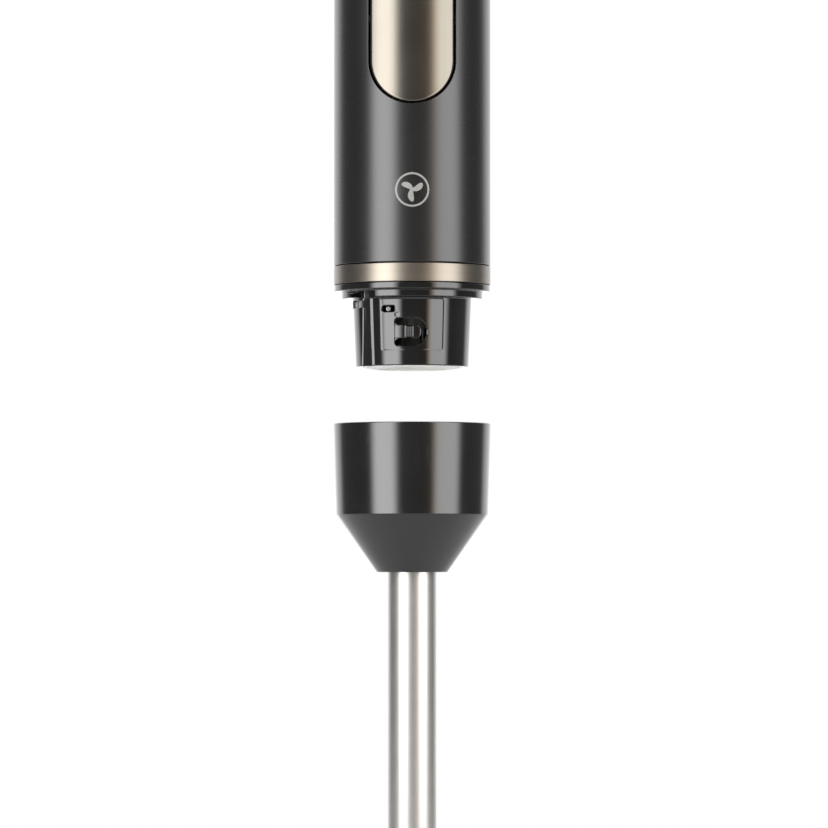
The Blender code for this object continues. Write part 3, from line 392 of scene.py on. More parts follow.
def carved(mesh, *cutters):
    """The mesh less the cutters, by exact Booleans whose result is kept as a plain mesh."""
    body = placed("carving", mesh)
    helpers = [body] + [placed("cutter", cutter) for cutter in cutters]
    for tool in helpers[1:]:
        step = body.modifiers.new("cut", "BOOLEAN")
        step.operation, step.object, step.solver = "DIFFERENCE", tool, "EXACT"
    result = baked(body)
    for helper in helpers:
        data = helper.data
        bpy.data.objects.remove(helper)
        bpy.data.meshes.remove(data)
    return result


def prism(name, outline, low, high):
    """An outline in X and Z drawn out along Y."""
    points = [(x, y, z) for y in (low, high) for x, z in outline]
    count = len(outline)
    faces = grid_faces(2, count, 0, True) + [tuple(range(count)), tuple(range(2 * count - 1, count - 1, -1))]
    return mesh_of(name, points, faces)


def sheet_mesh(name, points, rows, columns, ring=False):
    """A closed mesh from two layers of a grid, walled along its edges. The rows of a ring are closed."""
    step = rows * columns
    faces = grid_faces(rows, columns, 0, ring) + grid_faces(rows, columns, step, ring)
    grid = np.arange(step).reshape(rows, columns)
    rims = [grid[0], grid[-1]] if ring else [[*grid[0], *grid[1:, -1], *grid[-1, -2::-1], *grid[-2:0:-1, 0]]]
    for rim in rims:
        faces += [(a, b, step + b, step + a) for a, b in zip(rim, np.roll(rim, -1))]
    return mesh_of(name, points, faces)


def smooth_steps(value, low, high):
    t = np.clip((value - low) / (high - low), 0, 1)
    return t * t * (3 - 2 * t)


def rectangle_distance(u, z, half_u, half_z, corner):
    """Signed distance to a rounded rectangle about the origin, negative inside."""
    a, b = np.abs(u) - half_u + corner, np.abs(z) - half_z + corner
    return np.hypot(np.maximum(a, 0), np.maximum(b, 0)) + np.minimum(np.maximum(a, b), 0) - corner


# ---------- repeats, by Geometry Nodes
def repeat_tree():
    """Copies the mesh Count times, each moved by Step and turned by Turn about Z from the one before."""
    tree = bpy.data.node_groups.new("repeat", "GeometryNodeTree")
    for name, kind in (("Geometry", "Geometry"), ("Count", "Int"), ("Step", "Vector"), ("Turn", "Float"),
                       ("Finish", "Material")):
        tree.interface.new_socket(name, in_out="INPUT", socket_type="NodeSocket" + kind)
    tree.interface.new_socket("Geometry", in_out="OUTPUT", socket_type="NodeSocketGeometry")

    def add(kind, links=None, **settings):
        made = tree.nodes.new(kind)
        for key, value in settings.items():
            setattr(made, key, value)
        for key, socket in (links or {}).items():
            tree.links.new(socket, made.inputs[key])
        return made

    given = add("NodeGroupInput").outputs
    line = add("GeometryNodeMeshLine", {"Count": given["Count"], "Offset": given["Step"]}, mode="OFFSET")
    index = add("GeometryNodeInputIndex")
    turn = add("ShaderNodeMath", {0: index.outputs[0], 1: given["Turn"]}, operation="MULTIPLY")
    spin = add("ShaderNodeCombineXYZ", {"Z": turn.outputs[0]})
    copies = add("GeometryNodeInstanceOnPoints", {"Points": line.outputs[0], "Instance": given["Geometry"],
                                                  "Rotation": spin.outputs[0]})
    real = add("GeometryNodeRealizeInstances", {"Geometry": copies.outputs[0]})
    coated = add("GeometryNodeSetMaterial", {"Geometry": real.outputs[0], "Material": given["Finish"]})
    add("NodeGroupOutput", {"Geometry": coated.outputs[0]})
    return tree


REPEAT = repeat_tree()


def repeated(name, mesh, count, finish, step=(0.0, 0.0, 0.0), turn=0.0):
    """The mesh and its copies as one plain mesh."""
    holder = placed(name, mesh)
    grow = holder.modifiers.new(name, "NODES")
    grow.node_group = REPEAT
    given = {"Count": count, "Step": step, "Turn": turn, "Finish": finish}
    for item in REPEAT.interface.items_tree:
        if item.in_out == "INPUT" and item.name in given:
            grow[item.identifier] = given[item.name]
    made = baked(holder)
    bpy.data.objects.remove(holder)
    bpy.data.meshes.remove(mesh)
    return made


# ---------- casing, with its trigger opening
CASE_LOW, CASE_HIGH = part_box("casing")
CASE_R = CASE_HIGH.x
CASE_IN = CASE_R - 0.0025
PILL_LOW, PILL_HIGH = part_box("trigger")
PILL_HALF = PILL_HIGH.x
PILL_GAP = 0.0006
ARC_STEPS, SIDE_STEPS = 48, 40


def outline_ring(half, low, high, reach=None):
    """(x, z) round the trigger's outline: up the right side, over the top, down the left, under the end.
    With a reach, (arc length, z) round the straight-sided field about that outline, spot for spot."""
    def end(angle):
        c, s = math.cos(angle), math.sin(angle)
        scale = reach / max(abs(c), abs(s)) if reach else half
        return c * scale, s * scale
    side = reach or half
    sides = np.linspace(low + half, high - half, SIDE_STEPS, endpoint=False)
    bend = [end(a) for a in np.linspace(0, math.pi, ARC_STEPS, endpoint=False)]
    return np.array([(side, z) for z in sides] + [(x, high - half + z) for x, z in bend]
                    + [(-side, low + high - z) for z in sides] + [(-x, low + half - z) for x, z in bend])


def on_cylinder(radius, arc, z):
    """Points at an arc length from the front, measured on the casing's surface."""
    angle = FRONT + np.asarray(arc) / CASE_R
    z = np.broadcast_to(z, angle.shape)
    return np.stack([radius * np.cos(angle), radius * np.sin(angle), z], axis=-1)


def bowed(ring, radius):
    """An (x, z) ring laid on the front of a cylinder."""
    return np.stack([ring[:, 0], -np.sqrt(radius * radius - ring[:, 0] ** 2), ring[:, 1]], axis=-1)


def casing_mesh():
    half, low, high = PILL_HALF + PILL_GAP, PILL_LOW.z - PILL_GAP, PILL_HIGH.z + PILL_GAP
    edge, reach = 0.00025, 0.0250
    field = outline_ring(half, low, high, reach)

    def outwards(radius, ring, ring_radius, share):
        """A ring part of the way from the opening to the edge of the field."""
        arc = CASE_R * np.arcsin(ring[:, 0] / ring_radius)
        return on_cylinder(radius, arc * (1 - share) + field[:, 0] * share,
                           ring[:, 1] * (1 - share) + field[:, 1] * share)

    opening = outline_ring(half, low, high)
    rings = [outwards(CASE_IN, opening, CASE_IN, k / 6) for k in range(6, 0, -1)] + [bowed(opening, CASE_IN)]
    for k in range(7):                                        # the rounded lip of the opening
        angle = QUARTER * k / 6
        d = edge * (1 - math.cos(angle))
        rings.append(bowed(outline_ring(half + d, low - d, high + d), CASE_R - edge * (1 - math.sin(angle))))
    lip = outline_ring(half + edge, low - edge, high + edge)
    rings += [outwards(CASE_R, lip, CASE_R, share) for share in [0.03] + [k / 11 for k in range(1, 12)]]
    points = [p for ring in rings for p in ring]
    faces = grid_faces(len(rings), len(field), 0, True)

    front = sorted({round(float(a), 9) for a in field[:, 0]})
    wide = TURN * CASE_R - 2 * reach
    arcs = front + [reach + wide * k / 150 for k in range(1, 150)]
    levels = sorted({round(float(z), 9) for z in field[:, 1]})
    z_low, z_top, ends = CASE_LOW.z, CASE_HIGH.z, 0.00045
    rounding = [(ends * (1 - math.cos(a)), ends * (1 - math.sin(a))) for a in np.linspace(0, QUARTER, 5)]
    rows = [(z_low + rise, CASE_R - dip) for rise, dip in rounding] + [(z_low + 0.0008, CASE_R)]
    rows += [(z_low + (levels[0] - z_low) * k / 6, CASE_R) for k in range(1, 6)]
    rows += [(z, CASE_R) for z in levels]
    rows += [(levels[-1] + (z_top - levels[-1]) * k / 3, CASE_R) for k in (1, 2)] + [(z_top - 0.0008, CASE_R)]
    rows += [(z_top - rise, CASE_R - dip) for rise, dip in reversed(rounding)]
    base, columns = len(points), len(arcs)
    for radius in (None, CASE_IN):
        for z, r in rows:
            points += list(on_cylinder(radius or r, np.array(arcs), z))
    for layer in (0, 1):
        start = base + layer * len(rows) * columns
        for i in range(len(rows) - 1):
            beside = rows[i][0] >= levels[0] - 1e-7 and rows[i + 1][0] <= levels[-1] + 1e-7
            for j in range(columns):
                if beside and j < len(front) - 1:
                    continue
                k = (j + 1) % columns
                faces.append((start + i * columns + j, start + i * columns + k,
                              start + (i + 1) * columns + k, start + (i + 1) * columns + j))
    for row in (0, len(rows) - 1):
        a, b = base + row * columns, base + (len(rows) + row) * columns
        faces += [(a + j, a + (j + 1) % columns, b + (j + 1) % columns, b + j) for j in range(columns)]
    return mesh_of("casing_shell", points, faces)


VENT_TOP, VENT_X, VENT_R, VENT_STEP, VENT_COUNT = CASE_HIGH.z - 0.018, 0.0076, 0.0009, 0.0045, 7
air_slot = (arc_points(VENT_X, VENT_TOP, VENT_R, -QUARTER, QUARTER, 8)
            + arc_points(-VENT_X, VENT_TOP, VENT_R, QUARTER, 3 * QUARTER, 8))
vent_tools = repeated("air_slots", prism("air_slot", air_slot, 0.020, 0.034), VENT_COUNT, GRAPHITE,
                      step=(0.0, 0.0, -VENT_STEP))
casing = carved(casing_mesh(), vent_tools)
casing_shell = piece("casing_shell", casing, GRAPHITE, "handle", "graphite", "casing")


def square_to_axis(obj, radius):
    """Normals square to the axis on the faces that lie on the cylinder, whatever their triangles."""
    mesh = obj.data
    normals = [Vector(item.vector) for item in mesh.corner_normals]
    for face in mesh.polygons:
        out = Vector((face.center.x, face.center.y, 0)).normalized()
        if face.normal.dot(out) < 0.985:
            continue
        for loop in face.loop_indices:
            co = mesh.vertices[mesh.loops[loop].vertex_index].co
            if abs(math.hypot(co.x, co.y) - radius) < 2e-6:
                normals[loop] = Vector((co.x, co.y, 0)).normalized()
    mesh.normals_split_custom_set(normals)


square_to_axis(casing_shell, CASE_R)


# ---------- trigger
AXLE_LOW, AXLE_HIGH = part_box("trigger_pivot_pin")
PIVOT, PIVOT_R = (AXLE_LOW + AXLE_HIGH) / 2, (AXLE_HIGH.z - AXLE_LOW.z) / 2


def trigger_mesh():
    low, high = PILL_LOW.z, PILL_HIGH.z
    edge, thick, last = 0.00075, 0.0024, PILL_HALF - 0.0002
    rings = [(last + (0 - last) * k / 4, thick) for k in range(5)]
    rings += [(edge * (1 - math.cos(a)), edge * (1 - math.sin(a))) for a in np.linspace(0, QUARTER, 8)]
    rings += [(edge + 0.0002 + (last - edge - 0.0002) * k / 9, 0.0) for k in range(10)]
    points = []
    for d, dip in rings:
        ring = outline_ring(PILL_HALF - d, low + d, high - d)
        points += list(bowed(ring, CASE_R - dip))
    count = 2 * (SIDE_STEPS + ARC_STEPS)
    faces = grid_faces(len(rings), count, 0, True)
    for base in (0, (len(rings) - 1) * count):                # the middle is closed across its width
        for k in range(-ARC_STEPS // 2, SIDE_STEPS + ARC_STEPS // 2):
            mirror = 2 * SIDE_STEPS + ARC_STEPS - k
            loop = [k % count, (k + 1) % count, (mirror - 1) % count, mirror % count]
            faces.append(tuple(base + v for v in dict.fromkeys(loop)))
    return mesh_of("trigger_pad", points, faces)


boss = block("boss", (-0.0045, -CASE_R + 0.0014, PIVOT.z - 0.003),
             (0.0045, PIVOT.y + 0.003, PIVOT.z + 0.003), 0.0005)
bore = moved(rod("bore", PIVOT_R + 0.0003, -0.02, 0.02, 32), lambda x, y, z: (z, PIVOT.y + y, PIVOT.z + x))
bore.flip_normals()
SPRING_LOW, SPRING_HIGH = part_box("trigger_spring")
SPRING_Z, SEAT_Y = (SPRING_LOW.z + SPRING_HIGH.z) / 2, SPRING_LOW.y - 0.0016
spring_seat = rod("spring_seat", (SPRING_HIGH.x - SPRING_LOW.x) / 2 + 0.0006, SEAT_Y, SEAT_Y + 0.006, 48)
moved(spring_seat, lambda x, y, z: (x, z, SPRING_Z + y)).flip_normals()
pad = joined("trigger_pad", carved(trigger_mesh(), spring_seat), carved(boss, bore))
piece("trigger_pad", pad, BRONZE_PLATE, "trigger", "champagne_bronze", "trigger")


# ---------- badge, a plain round blade sign
BADGE_Z, SIGN_OUT, SIGN_IN = SEAT + 0.0361, CASE_R + 0.00003, CASE_R - 0.00010


def raised_sign(name, spots):
    """A thin closed skin over a grid of (arc, z) spots on the casing's front."""
    spots = np.array(spots)
    points = [p for radius in (SIGN_OUT, SIGN_IN) for row in spots
              for p in on_cylinder(radius, row[:, 0], BADGE_Z + row[:, 1])]
    return sheet_mesh(name, points, *spots.shape[:2], ring=True)


turns = np.linspace(0, TURN, 120, endpoint=False)
ring_spots = [[(r * math.cos(a), r * math.sin(a)) for a in turns] for r in (0.0056, 0.0058, 0.0061, 0.0063)]
petal = 0.0008 + 0.0036 * np.abs(np.cos(1.5 * turns)) ** 3
sign_spots = []
for share in np.linspace(0.02, 1, 8):
    reach = petal * share
    lean = turns + 120.0 * reach
    sign_spots.append(list(zip(reach * np.cos(lean), reach * np.sin(lean))))
badge = joined("badge_print", raised_sign("ring", ring_spots), raised_sign("blades", sign_spots))
piece("badge_print", badge, PRINT, "handle", "pale_plastic")


# ---------- trim band
BAND_LOW, BAND_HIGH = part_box("trim_ring")
band = lathe("trim_band", rounded([(CASE_R, BAND_HIGH.z, 0.0002), (CASE_R, BAND_LOW.z, 0.0002),
                                   (CASE_IN, BAND_LOW.z, 0), (CASE_IN, BAND_HIGH.z, 0)]), 256)
piece("trim_band", band, BRONZE, "handle", "champagne_bronze", "trim_ring")


# ---------- neck, with its bayonet channels
NECK_LOW, NECK_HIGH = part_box("coupling_neck")
NECK_END = NECK_LOW.z
CHANNEL_ANGLE, LUG_ANGLE, LOCK_TURN = math.radians(218.8), math.radians(220.0), math.radians(30.0)
CHANNEL_W, LUG_W, CHANNEL_FLOOR = 0.0082, 0.0038, 0.02035
LIP_H, STEP_H, STEP_R, RIDGE_AT = 0.0024, 0.0027, 0.0262, 0.00215
NECK_R, NECK_DRAFT, NECK_WALL = 0.02205, 0.0011, 0.0025
SPIGOT_R, SPIGOT_IN = CASE_IN - 0.0003, CASE_IN - 0.0025
TONGUE_LOW, TONGUE_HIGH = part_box("latch_tongue")
TONGUE_Z = (TONGUE_LOW.z + TONGUE_HIGH.z) / 2
PIN_LOW, PIN_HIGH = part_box("interlock_plunger")
PIN = (PIN_LOW + PIN_HIGH) / 2
NECK_TOP = SEAT - STEP_H


def neck_radius(z):
    return NECK_R - NECK_DRAFT * np.clip((NECK_TOP - z) / (NECK_TOP - NECK_END), 0, 1)


PANEL_TURN, PANEL_TOP, PANEL_END = math.radians(32), NECK_TOP - 0.0006, SEAT - 0.0221
CHANNEL_TOP, LEG_TOP, LEG_END = SEAT - 0.0006, SEAT - 0.0034, SEAT - 0.0062
CHANNEL_SWEEP, CHANNEL_SOFT, GROOVE_W, GROOVE_DEPTH = 0.0016, 0.00022, 0.00125, 0.00052
SLOT_LEFT, SLOT_RIGHT, SLOT_ARM, SLOT_ROUND = TONGUE_LOW.x - 0.00005, TONGUE_HIGH.x + 0.0021, 0.00275, 0.0048
TONGUE_HALF = (TONGUE_HIGH.z - TONGUE_LOW.z) / 2
NECK_GRID, PANEL_DEPTH, LIP_EASE, DIMPLE_DEPTH = 0.00022, 0.00022, 0.00018, 0.00010
WINDOW_X, WINDOW_Z, WINDOW_ROUND = 0.0022, 0.00115, 0.0004


def slot_distance(x, z):
    """Distance to the slot round the tongue: two arms with round ends, joined beyond its tip."""
    middle, half = (SLOT_LEFT + SLOT_RIGHT) / 2, (SLOT_RIGHT - SLOT_LEFT) / 2
    corner = np.where(x > middle, SLOT_ROUND, SLOT_ARM / 2)
    return rectangle_distance(x - middle, z - TONGUE_Z, half, TONGUE_HALF + SLOT_ARM, corner)


def channel_share(off, z):
    """How deep a spot lies in a bayonet channel, from 0 to 1. Its far side sweeps round into the floor."""
    u = off * NECK_R
    sweep = np.clip((u + CHANNEL_W / 2) / CHANNEL_SWEEP, 0, 1)
    way = np.sqrt(1 - (1 - sweep) ** 2) * (1 - smooth_steps(u - RIDGE_AT, -0.0001, 0.0001))
    way = way * smooth_steps(CHANNEL_TOP - z, 0.0, CHANNEL_SOFT)
    first = (LUG_ANGLE - CHANNEL_ANGLE) * NECK_R
    last = first - LOCK_TURN * NECK_R - LUG_W / 2 - 0.0004
    leg = rectangle_distance(u - (first + last) / 2, z - (LEG_TOP + LEG_END) / 2, (first - last) / 2,
                             (LEG_TOP - LEG_END) / 2, 0.0005)
    return np.maximum(way, 1 - smooth_steps(leg, -0.00025, 0.0))


def groove_depth(off, z):
    """The sloping groove that runs down beside a channel."""
    u = off * NECK_R
    slope = np.clip((u - RIDGE_AT) / GROOVE_W, 0, 1)
    inside = 1 - smooth_steps(u - CHANNEL_W / 2, -CHANNEL_SOFT, 0.0)
    return GROOVE_DEPTH * slope * inside * smooth_steps(CHANNEL_TOP - z, 0.0, CHANNEL_SOFT)


def neck_section():
    """(radius, z) down the neck's outside, and up its bore."""
    outer = [(SPIGOT_R, NECK_HIGH.z - 0.0003), (SPIGOT_R, NECK_HIGH.z - 0.004),
             (SPIGOT_R, SEAT + LIP_H + 0.0002), (SPIGOT_R, SEAT + LIP_H)]
    outer += arc_points(CASE_R - 0.0002, SEAT + LIP_H - 0.0002, 0.0002, QUARTER, 0, 4)
    outer += [(CASE_R, SEAT + LIP_H - 0.0005), (CASE_R, SEAT + 0.0012), (CASE_R, SEAT + 0.0008)]
    outer += arc_points(CASE_R - 0.0005, SEAT + 0.0005, 0.0005, -0.1, -QUARTER, 6)
    outer += [(CASE_R - 0.0009, SEAT), (STEP_R + 0.0006, SEAT), (STEP_R + 0.0002, SEAT - 0.00006)]
    outer += [(STEP_R, SEAT - 0.0003 - 0.0002 * k) for k in range(10)]
    outer += arc_points(STEP_R - 0.0004, NECK_TOP + 0.0004, 0.0004, -0.1, -QUARTER, 6)
    outer += [(r, NECK_TOP) for r in (0.0255, 0.0248, 0.0241, 0.0234, 0.0229)]
    outer += arc_points(NECK_R + 0.0004, NECK_TOP - 0.0004, 0.0004, QUARTER + 0.1, math.pi, 5)
    levels = [*np.arange(NECK_TOP - 0.0006, NECK_END + 0.0008, -NECK_GRID), NECK_END + 0.0006]
    outer += [(float(neck_radius(z)), float(z)) for z in levels]
    end_r, bore_r = NECK_R - NECK_DRAFT, NECK_R - NECK_WALL
    outer += arc_points(end_r - 0.0004, NECK_END + 0.0004, 0.0004, 0, -QUARTER, 5)
    inner = [(end_r - NECK_WALL, NECK_END), (bore_r, NECK_TOP - 0.001), (bore_r, SEAT + 0.0008),
             (SPIGOT_IN, SEAT + 0.0008), (SPIGOT_IN, NECK_HIGH.z - 0.0003), (SPIGOT_IN + 0.0003, NECK_HIGH.z),
             (SPIGOT_R - 0.0003, NECK_HIGH.z)]
    return outer, inner


def neck_angles():
    """Angles round the neck, close together over the tongue's slot and the bayonet channels."""
    fine = NECK_GRID / NECK_R

    def span(centre, half):
        return centre + np.arange(-half, half + fine / 2, fine)
    angles = [span(FRONT, math.radians(35))]
    for side in (0, math.pi):
        centre = (CHANNEL_ANGLE + side) % TURN
        angles += [span(centre, 0.0055 / NECK_R), span(centre + math.radians(16), 0.0022 / NECK_R),
                   span(centre - LOCK_TURN, 0.0030 / NECK_R)]
    angles.append(np.linspace(0, TURN, 180, endpoint=False))
    angles = np.sort(np.mod(np.concatenate(angles), TURN))
    angles = angles[np.concatenate([[True], np.diff(angles) > fine * 0.6])]
    return angles[:-1] if angles[0] + TURN - angles[-1] < fine * 0.6 else angles


def off_from(angles, centre):
    """How far each angle is past the centre, from minus to plus half a turn."""
    return np.mod(angles - centre + math.pi, TURN) - math.pi


def neck_mesh():
    outer, inner = neck_section()
    angles = neck_angles()
    points = []
    for r, z in outer:
        radius = np.full(angles.shape, r)
        for side in (0, math.pi):
            off = off_from(angles, CHANNEL_ANGLE + side)
            cut, floor_r = channel_share(off, z), CHANNEL_FLOOR / np.cos(np.clip(off, -0.06, 0.22))
            if z < SEAT:
                radius = np.where(radius > floor_r, radius * (1 - cut) + floor_r * cut, radius)
                radius = radius - (cut < 0.3) * (radius < NECK_R + 0.0006) * groove_depth(off, z)
            if NECK_TOP - 1e-6 < z < CHANNEL_TOP:             # the notch in the step
                notch = smooth_steps(off, math.radians(-8.5), math.radians(-7.5))
                notch = notch * (1 - smooth_steps(off, math.radians(18.4), math.radians(19.4)))
                radius = np.where(radius > NECK_R, radius * (1 - notch) + (NECK_R + 0.0002) * notch, radius)
        if z <= NECK_TOP + 1e-9:                              # the sunk panel, the slot's lip and the dimple
            panel = rectangle_distance(off_from(angles, FRONT) * NECK_R, z - (PANEL_TOP + PANEL_END) / 2,
                                       PANEL_TURN * NECK_R, (PANEL_TOP - PANEL_END) / 2, 0.0008)
            sunk = 1 - smooth_steps(panel, -0.0002, 0.0001)
            radius = radius - PANEL_DEPTH * sunk * (radius < NECK_R + 0.0003)
            x = radius * np.cos(angles)
            front = np.sin(angles) < 0
            window = rectangle_distance(x - PIN.x, z - PIN.z, WINDOW_X, WINDOW_Z, WINDOW_ROUND)
            ease = np.minimum(slot_distance(x, z), window)
            radius = radius - front * LIP_EASE * (1 - smooth_steps(ease, 0.0, 0.00030)) ** 2
            dimple = np.hypot(x + 0.0056, z - SEAT + 0.0091)
            radius = radius - front * DIMPLE_DEPTH * (1 - smooth_steps(dimple, 0.0007, 0.0009))
        points += ring_points(radius, angles, z)
    for r, z in inner:
        points += ring_points(r, angles, z)
    return mesh_of("neck_body", points, grid_faces(len(outer) + len(inner), len(angles), 0, True, True))


def round_box(left, right, low, high, corner, steps=7):
    """An (x, z) outline of a box with round corners."""
    corners = ((right - corner, low + corner, -QUARTER), (right - corner, high - corner, 0.0),
               (left + corner, high - corner, QUARTER), (left + corner, low + corner, math.pi))
    return [spot for x, z, start in corners
            for spot in arc_points(x, z, corner, start, start + QUARTER, steps)]


def slot_spots():
    """The outline cut for the tongue: round-ended arms, a round far end, and a thin seam at the root."""
    arm, seam, end_x = SLOT_ARM / 2, TONGUE_LOW.x - 0.0001, SLOT_RIGHT - SLOT_ROUND
    low, high = TONGUE_LOW.z, TONGUE_HIGH.z
    return ([(seam, low)] + arc_points(SLOT_LEFT + arm, low - arm, arm, QUARTER, 3 * QUARTER, 10)
            + arc_points(end_x, low - SLOT_ARM + SLOT_ROUND, SLOT_ROUND, -QUARTER, 0, 10)
            + arc_points(end_x, high + SLOT_ARM - SLOT_ROUND, SLOT_ROUND, 0, QUARTER, 10)
            + arc_points(SLOT_LEFT + arm, high + arm, arm, QUARTER, 3 * QUARTER, 10) + [(seam, high)])


IN_FRONT, IN_BORE = -0.03, -NECK_R * 0.55
window = round_box(PIN.x - WINDOW_X, PIN.x + WINDOW_X, PIN.z - WINDOW_Z, PIN.z + WINDOW_Z, WINDOW_ROUND)
cutters = [prism("opening", spots, IN_FRONT, IN_BORE) for spots in (slot_spots(), window)]
neck_body = carved(neck_mesh(), *cutters)
piece("neck_body", neck_body, GLOSS, "handle", "gloss_black", "coupling_neck")

COLLAR_LOW, COLLAR_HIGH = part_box("neck_collar")
collar = lathe("collar_ring", rounded([
    (COLLAR_HIGH.x, COLLAR_HIGH.z, 0.0003), (COLLAR_HIGH.x, COLLAR_LOW.z + 0.0006, 0.0002),
    (0.0140, COLLAR_LOW.z, 0.0006), (0.0130, COLLAR_LOW.z, 0.0003), (0.0130, COLLAR_HIGH.z, 0.0002)]))
piece("collar_ring", collar, PALE, "handle", "pale_plastic", "neck_collar")


# ---------- tongue, and the lock's pin
def close_steps(low, high, count):
    """Even steps from low to high, with one more close to either end."""
    return np.unique(np.round([*np.linspace(low, high, count), low + 0.0001, high - 0.0001], 7))


def tongue_mesh():
    xs, zs = close_steps(TONGUE_LOW.x, TONGUE_HIGH.x, 60), close_steps(TONGUE_LOW.z, TONGUE_HIGH.z, 30)
    points = []
    bump_x, half, tip_round = -0.00105, TONGUE_HALF, 0.0020
    for layer in (0, 1):
        for z in zs:
            base, up = float(neck_radius(z)) - 0.00028, abs(z - TONGUE_Z)
            for x in xs:
                edge = max(min(x - TONGUE_LOW.x + 0.0002, TONGUE_HIGH.x - x, half - up), 0.0)
                r = base - 0.0002 * (1 - min(edge / 0.0003, 1)) ** 2 if layer == 0 else base - 0.0014
                if layer == 0:
                    pad = rectangle_distance(x - bump_x, z - TONGUE_Z, 0.0014, 0.0021, 0.0004)
                    r += 0.0003 * float(1 - smooth_steps(pad, -0.00035, 0.0002))
                    tip = (x - TONGUE_HIGH.x + 0.0017) / 0.0017 - up / half * 0.45
                    r -= 0.00014 * max(0.0, min(tip, 1.0))
                past = max(0.0, x - TONGUE_HIGH.x + tip_round)
                narrow = (half - tip_round + math.sqrt(max(0.0, tip_round ** 2 - past ** 2))) / half
                points.append((x, -math.sqrt(r * r - x * x), TONGUE_Z + (z - TONGUE_Z) * narrow))
    return sheet_mesh("latch_leaf", points, len(zs), len(xs))


RIDGE_Y = -float(neck_radius(TONGUE_Z)) - 0.00002
ridge = block("ridge", (-0.00245, RIDGE_Y - 0.00032, TONGUE_Z - 0.0019),
              (-0.00195, RIDGE_Y + 0.0008, TONGUE_Z + 0.0019), 0.00022)
leaf = joined("latch_leaf", tongue_mesh(), repeated("ridges", ridge, 4, GLOSS, step=(0.00077, 0.0, 0.0)))
piece("latch_leaf", leaf, GLOSS, "latch_tongue", "gloss_black", "latch_tongue")

PIN_R, PIN_LONG = (PIN_HIGH.x - PIN_LOW.x) / 2, PIN_HIGH.y - PIN_LOW.y
pin = lathe("lock_pin", rounded([(0, 0, 0), (PIN_R, 0, 0.0003), (PIN_R, PIN_LONG, 0.0002),
                                 (0, PIN_LONG, 0)]), 40)
moved(pin, lambda x, y, z: (PIN.x + x, PIN_LOW.y + z, PIN.z - y))
piece("lock_pin", pin, PIN_GREY, "interlock_plunger", "pale_plastic", "interlock_plunger")


# ---------- cap, dial and cord gland
CAP_LOW, CAP_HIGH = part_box("top_cap")
CAP_SEAM, CAP_ROUND, CAP_SPIGOT_R = CASE_HIGH.z + 0.0003, 0.0035, CASE_IN - 0.0003
DIAL_LOW, DIAL_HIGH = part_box("speed_dial")
DIAL = (DIAL_LOW + DIAL_HIGH) / 2
DIAL_R = (DIAL_HIGH.x - DIAL_LOW.x) / 2
GLAND_LOW, GLAND_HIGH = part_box("cord_gland")
GLAND = (GLAND_LOW + GLAND_HIGH) / 2
PIN_HOLE, GLAND_R = 0.0033, 0.0062
CAP_INNER_R, CAP_UNDER = CAP_SPIGOT_R - 0.0024, CAP_HIGH.z - CAP_ROUND
cap = lathe("cap_shell", rounded([
    (0, CAP_HIGH.z, 0), (CASE_R, CAP_HIGH.z, CAP_ROUND), (CASE_R, CAP_SEAM, 0.0003),
    (CAP_SPIGOT_R, CAP_SEAM, 0), (CAP_SPIGOT_R, CAP_LOW.z, 0.0003), (CAP_INNER_R, CAP_LOW.z, 0.0003),
    (CAP_INNER_R, CAP_UNDER, 0), (0, CAP_UNDER, 0)], steps=12), 256)
dial_hole = rod("dial_hole", PIN_HOLE, 0, 0.2, 40, (DIAL.x, DIAL.y))
gland_hole = rod("gland_hole", GLAND_R + 0.0003, 0, 0.2, 64, (GLAND.x, GLAND.y))
piece("cap_shell", carved(cap, dial_hole, gland_hole), GRAPHITE, "handle", "graphite", "top_cap", sharp=28)


def over(mesh, centre):
    """The mesh moved from the axis to the centre."""
    return moved(mesh, lambda x, y, z: (x + centre.x, y + centre.y, z))


DIAL_DISH, DIAL_FLOOR = DIAL_HIGH.z - 0.0004, DIAL_LOW.z + 0.0035
knob = lathe("dial_knob", rounded([
    (0, DIAL_DISH, 0), (DIAL_R - 0.0042, DIAL_DISH, 0.0003), (DIAL_R - 0.0036, DIAL_HIGH.z, 0.0004),
    (DIAL_R - 0.0014, DIAL_HIGH.z, 0.0009), (DIAL_R - 0.0008, DIAL_LOW.z + 0.0010, 0.0002),
    (DIAL_R, DIAL_LOW.z + 0.0009, 0.0003), (DIAL_R, DIAL_LOW.z, 0.0002),
    (PIN_HOLE + 0.0001, DIAL_LOW.z, 0), (PIN_HOLE + 0.0001, DIAL_FLOOR, 0), (0, DIAL_FLOOR, 0)]))
ridge = block("knurl", (DIAL_R - 0.0016, -0.00035, DIAL_LOW.z + 0.0014),
              (DIAL_R - 0.00055, 0.00035, DIAL_HIGH.z - 0.0014))
knob = joined("dial_knob", knob, repeated("knurl", ridge, 60, BRONZE, turn=TURN / 60))
pointer = block("pointer", (-0.0004, -DIAL_R + 0.0045, DIAL_HIGH.z - 0.0006),
                (0.0004, -0.0035, DIAL_HIGH.z - 0.00032), 0.0001)
piece("dial_knob", over(knob, DIAL), BRONZE, "speed_dial", "champagne_bronze", "speed_dial")
piece("dial_pointer", over(pointer, DIAL), PRINT, "speed_dial", "pale_plastic")

